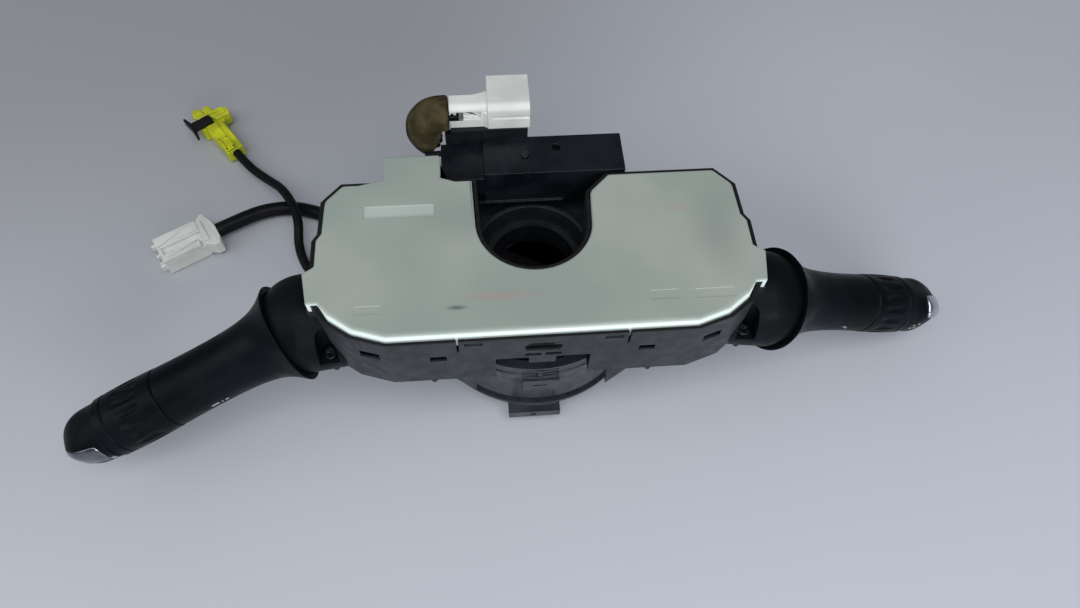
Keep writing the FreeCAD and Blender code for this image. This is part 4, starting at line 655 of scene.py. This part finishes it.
def leverPoints(side, t, radius, angle, squash=1.0):
    plan = leverPlan[side]
    along = np.array(plan["along"])
    across = np.array(plan["across"])
    upward = np.cross(along, across)
    flat = np.broadcast_arrays(t, radius, angle)
    t, radius, angle = (item[..., None] * 1.0 for item in flat)
    turnUp = radius * squash * np.cos(angle)
    turnSouth = radius * np.sin(angle) * plan["south"]
    return np.array(plan["pivot"]) + mm * (t * along + turnUp * upward + turnSouth * across)


# closed profile carried round the lever's line; each profile point is (along, radius)
def leverLathe(side, profile, columns):
    angle = np.linspace(0, 2 * np.pi, columns, endpoint=False)[None, :]
    t, radius = (np.array(profile)[:, k][:, None] for k in (0, 1))
    return leverPoints(side, t, radius, angle)


# hollow ball round the pivot, rim, flare, neck and the core that carries the ring; and the bored shank inside
def makeBell(side):
    plan = leverPlan[side]
    start, wide, end = plan["rimStart"], plan["rimRadius"], plan["neckEnd"]
    low, high = np.arcsin(bell["bore"] / bell["hollow"]), np.arccos(start / bell["hollow"])
    ball = np.linspace(low, high, bell["ballSteps"])
    hollow = np.stack([bell["hollow"] * np.cos(ball), bell["hollow"] * np.sin(ball)], 1)
    lip, step = bell["lip"], bell["lipStep"]
    rim = [(start, wide - lip), (start + step, wide - step), (start + lip, wide)]
    outer = smoothWalk(plan["flare"], bell["flareSteps"])
    coreEnd = plan["ringStop"] - seam
    neckTail = [(end - tail["run"], tail["first"]), (end, tail["last"]), (end, tail["coreRadius"]),
                (coreEnd, tail["coreRadius"]), (coreEnd, bell["bore"])]
    body = leverLathe(side, np.vstack([hollow, rim, outer, neckTail]), bell["columns"])
    far, outside, inside = shank["end"], shank["radius"], shank["bore"]
    inner = leverLathe(side, [(0.0, outside), (far, outside), (far, inside), (0.0, inside)], shank["columns"])
    faces = gridFaces(*body.shape[:2], True, True)
    faces += gridFaces(*inner.shape[:2], True, True, body.shape[0] * body.shape[1])
    points = np.vstack([body.reshape(-1, 3), inner.reshape(-1, 3)])
    return meshPiece(f"{side}LeverBell", points, faces, "lever", f"{side}_lever", [f"{side}_lever"])


# ring radius less long grooves, each a raised cosine round the ring and an eased window along it
def makeGripRing(side):
    p, plan = gripRing, leverPlan[side]
    start, stop = plan["neckEnd"] + seam, plan["ringStop"]
    outer = np.linspace(start, stop, p["rows"])
    angle = np.linspace(0, 2 * np.pi, p["columns"], endpoint=False)[None, :]
    edge = np.minimum(outer - start, stop - outer)
    swell = p["swell"] * np.sin(np.pi * (outer - start) / (stop - start))
    radius = (p["radius"] - p["swell"] + swell - p["edgeDrop"] * (1 - ease(edge, 0, p["edgeRun"])))[:, None]
    first, last = plan["grooveStart"], plan["grooveStop"]
    window = (ease(outer, first, first + p["fade"]) * (1 - ease(outer, last - p["fade"], last)))[:, None]
    phase = 0.5 + 0.5 * np.cos(angle * p["grooves"])
    radius = radius - p["depth"] * window * ease(phase, *p["width"])
    line = np.exp(-((outer - plan["lineAt"]) / p["lineWidth"]) ** 2)[:, None]
    skin = leverPoints(side, outer[:, None], radius - p["lineDepth"] * line, angle)
    inner = leverPoints(side, np.array([[stop], [start]]), p["bore"], angle)
    points = np.vstack([skin, inner])
    faces = gridFaces(*points.shape[:2], True, True)
    return meshPiece(f"{side}GripRing", points, faces, "lever", f"{side}_ring", [f"{side}_ring"])


# cap radius from its profile; towards the tip the section goes from round to a rounded box
def capRadius(side, t, angle):
    p, plan = capPlan, leverPlan[side]
    profile = smoothWalk(plan["cap"], p["samples"])
    radius = np.interp(t, profile[:, 0], profile[:, 1])
    boxStart, boxStop = (plan["cap"][0][0] + run for run in p["boxyRun"])
    boxy = 2 + p["boxy"] * ease(t, boxStart, boxStop)
    square = (np.abs(np.cos(angle)) ** boxy + np.abs(np.sin(angle)) ** boxy) ** (-1 / boxy)
    return radius * square * p["fit"]


def makeCap(side):
    p, plan = capPlan, leverPlan[side]
    start, tip = plan["cap"][0][0], plan["cap"][-1][0]
    coarse = np.linspace(start + p["firstGap"], tip - p["fineRun"][0], p["rows"][0])
    t = np.concatenate([coarse, np.linspace(tip - p["fineRun"][1], tip, p["rows"][1])])[:, None]
    angle = np.linspace(0, 2 * np.pi, p["columns"], endpoint=False)[None, :]
    skin = leverPoints(side, t, capRadius(side, t, angle), angle, p["squash"])
    back = leverPoints(side, np.array([[start]]), p["backRadius"], angle, p["squash"])
    points = np.vstack([back, skin])
    rows, columns = points.shape[:2]
    faces = gridFaces(rows, columns, False, True)
    faces += [list(range(columns)), list(range((rows - 1) * columns, rows * columns))]
    return meshPiece(f"{side}LeverCap", points, faces, "lever", f"{side}_knob", [f"{side}_knob"])


# block lying on the cap: a super-ellipse of the grid's two ways, with a level top and a round shoulder
def makeInsert(side):
    p, plan = insertPlan, leverPlan[side]
    t0, t1, middle, halfTurn = plan["insert"]
    ring = np.linspace(0, 2 * np.pi, p["columns"], endpoint=False)[None, :]
    bend = np.linspace(0, np.pi / 2, p["bendRows"])
    top = np.linspace(*p["topReach"], p["topRows"])
    reach = np.concatenate([top, p["bendReach"] + (1 - p["bendReach"]) * np.sin(bend), [1.0]])[:, None]
    height = np.concatenate([np.full(len(top), plan["lift"]), plan["lift"] * np.cos(bend), [-p["sink"]]])[:, None]
    across = np.sign(np.sin(ring)) * np.abs(np.sin(ring)) ** p["power"] * reach
    down = np.sign(np.cos(ring)) * np.abs(np.cos(ring)) ** p["power"] * reach
    t = (t0 + t1) / 2 + (t1 - t0) / 2 * down
    turnFactor = p["meanRadius"] / np.maximum(capRadius(side, t, 0.0), p["leastRadius"])
    angle = np.radians(middle + halfTurn * across * np.minimum(turnFactor, p["mostTurn"]) * p["turnShare"])
    t = np.minimum(t, plan["cap"][-1][0] - p["tipGap"])
    points = leverPoints(side, t, capRadius(side, t, angle) + height, angle, capPlan["squash"])
    rows, columns = points.shape[:2]
    faces = gridFaces(rows, columns, False, True) + [list(range(columns))]
    return meshPiece(f"{side}CapInsert", points, faces, plan["insertLook"], f"{side}_knob",
                     [f"{side}_knob_trim"])


# small painted bars: rounded outlines laid on the surface, a hair above it
def makeMarks(side, name, body, marks, radiusOf, squash):
    p = markPlan
    points, faces, count = [], [], 0
    for t0, t1, middle in marks:
        corners = [(t0, -p["half"]), (t1, -p["half"]), (t1, p["half"]), (t0, p["half"])]
        outline = roundedLoop([(*corner, p["rounding"]) for corner in corners], p["samples"])
        rings = []
        for inset, lift in p["ways"]:
            ring = inwards(outline, inset)
            turnAt = np.radians(middle) + ring[:, 1] / p["radius"]
            rings.append(leverPoints(side, ring[:, 0], radiusOf(ring[:, 0], turnAt) + lift, turnAt, squash))
        points.append(np.array(rings).reshape(-1, 3))
        faces += gridFaces(len(rings), len(outline), False, True, count)
        count += len(rings) * len(outline)
        faces.append(list(range(count - len(outline), count)))
    return meshPiece(name, np.vstack(points), faces, "mark", body)


def dressLever(side):
    plan = leverPlan[side]
    makeBell(side)
    makeGripRing(side)
    makeCap(side)
    makeInsert(side)
    neck = smoothWalk(plan["flare"], bell["flareSteps"])
    makeMarks(side, f"{side}neckMarks", f"{side}_lever", plan["neckMarks"],
              lambda t, angle: np.interp(t, neck[:, 0], neck[:, 1]), 1.0)
    makeMarks(side, f"{side}capMarks", f"{side}_knob", plan["capMarks"],
              lambda t, angle: capRadius(side, t, angle), capPlan["squash"])


for side in ("left", "right"):
    dressLever(side)
print("levers made")


# Floor and light

# the floor's spots are painted light: two darker patches of painted shadow towards the back left and a brighter
# painted pool of light towards the front right
floorLook = dict(base=(0.530, 0.560, 0.620), tint=(0.570, 0.600, 0.660), patch=2.2, grain=60, depth=0.0,
                 rough=(0.30, 0.31), stainsAndPaintedLight=((-0.32, 0.22, 0.42, 0.30, (0.330, 0.335, 0.355), 0.85),
                                             (-0.08, 0.36, 0.40, 0.22, (0.350, 0.348, 0.365), 0.6),
                                             (0.42, -0.28, 0.45, 0.35, (0.640, 0.680, 0.760), 0.8)))
floorSize, floorDrop = 6, 0.0002
aim = (0, 0, 0.05)
roomColour, roomStrength = (0.80, 0.85, 0.94, 1), 0.22

bpy.ops.mesh.primitive_plane_add(size=floorSize, location=(0, 0, -floorDrop))
floor = bpy.context.object
floor.name = "floor"
floor.data.materials.append(makeFinish("floorTop", floorLook))


def lamp(name, place, size, power, colour=(1, 1, 1)):
    data = bpy.data.lights.new(name, "AREA")
    data.shape = "RECTANGLE"
    data.size, data.size_y = size
    data.energy = power
    data.color = colour
    thing = bpy.data.objects.new(name, data)
    thing.location = place
    thing.rotation_euler = (Vector(aim) - Vector(place)).to_track_quat("-Z", "Y").to_euler()
    bpy.context.scene.collection.objects.link(thing)


lamp("keyLamp", (0.05, -0.62, 1.45), (1.5, 0.9), 12.0)
lamp("windowLamp", (0.35, -1.35, 0.55), (1.2, 0.5), 11.0, (0.95, 0.98, 1.0))
lamp("fillLamp", (-1.0, -0.25, 0.8), (0.8, 0.8), 3.0)
world = bpy.data.worlds.new("room")
world.use_nodes = True
background = world.node_tree.nodes["Background"]
background.inputs["Color"].default_value = roomColour
background.inputs["Strength"].default_value = roomStrength
bpy.context.scene.world = world
print("light placed")
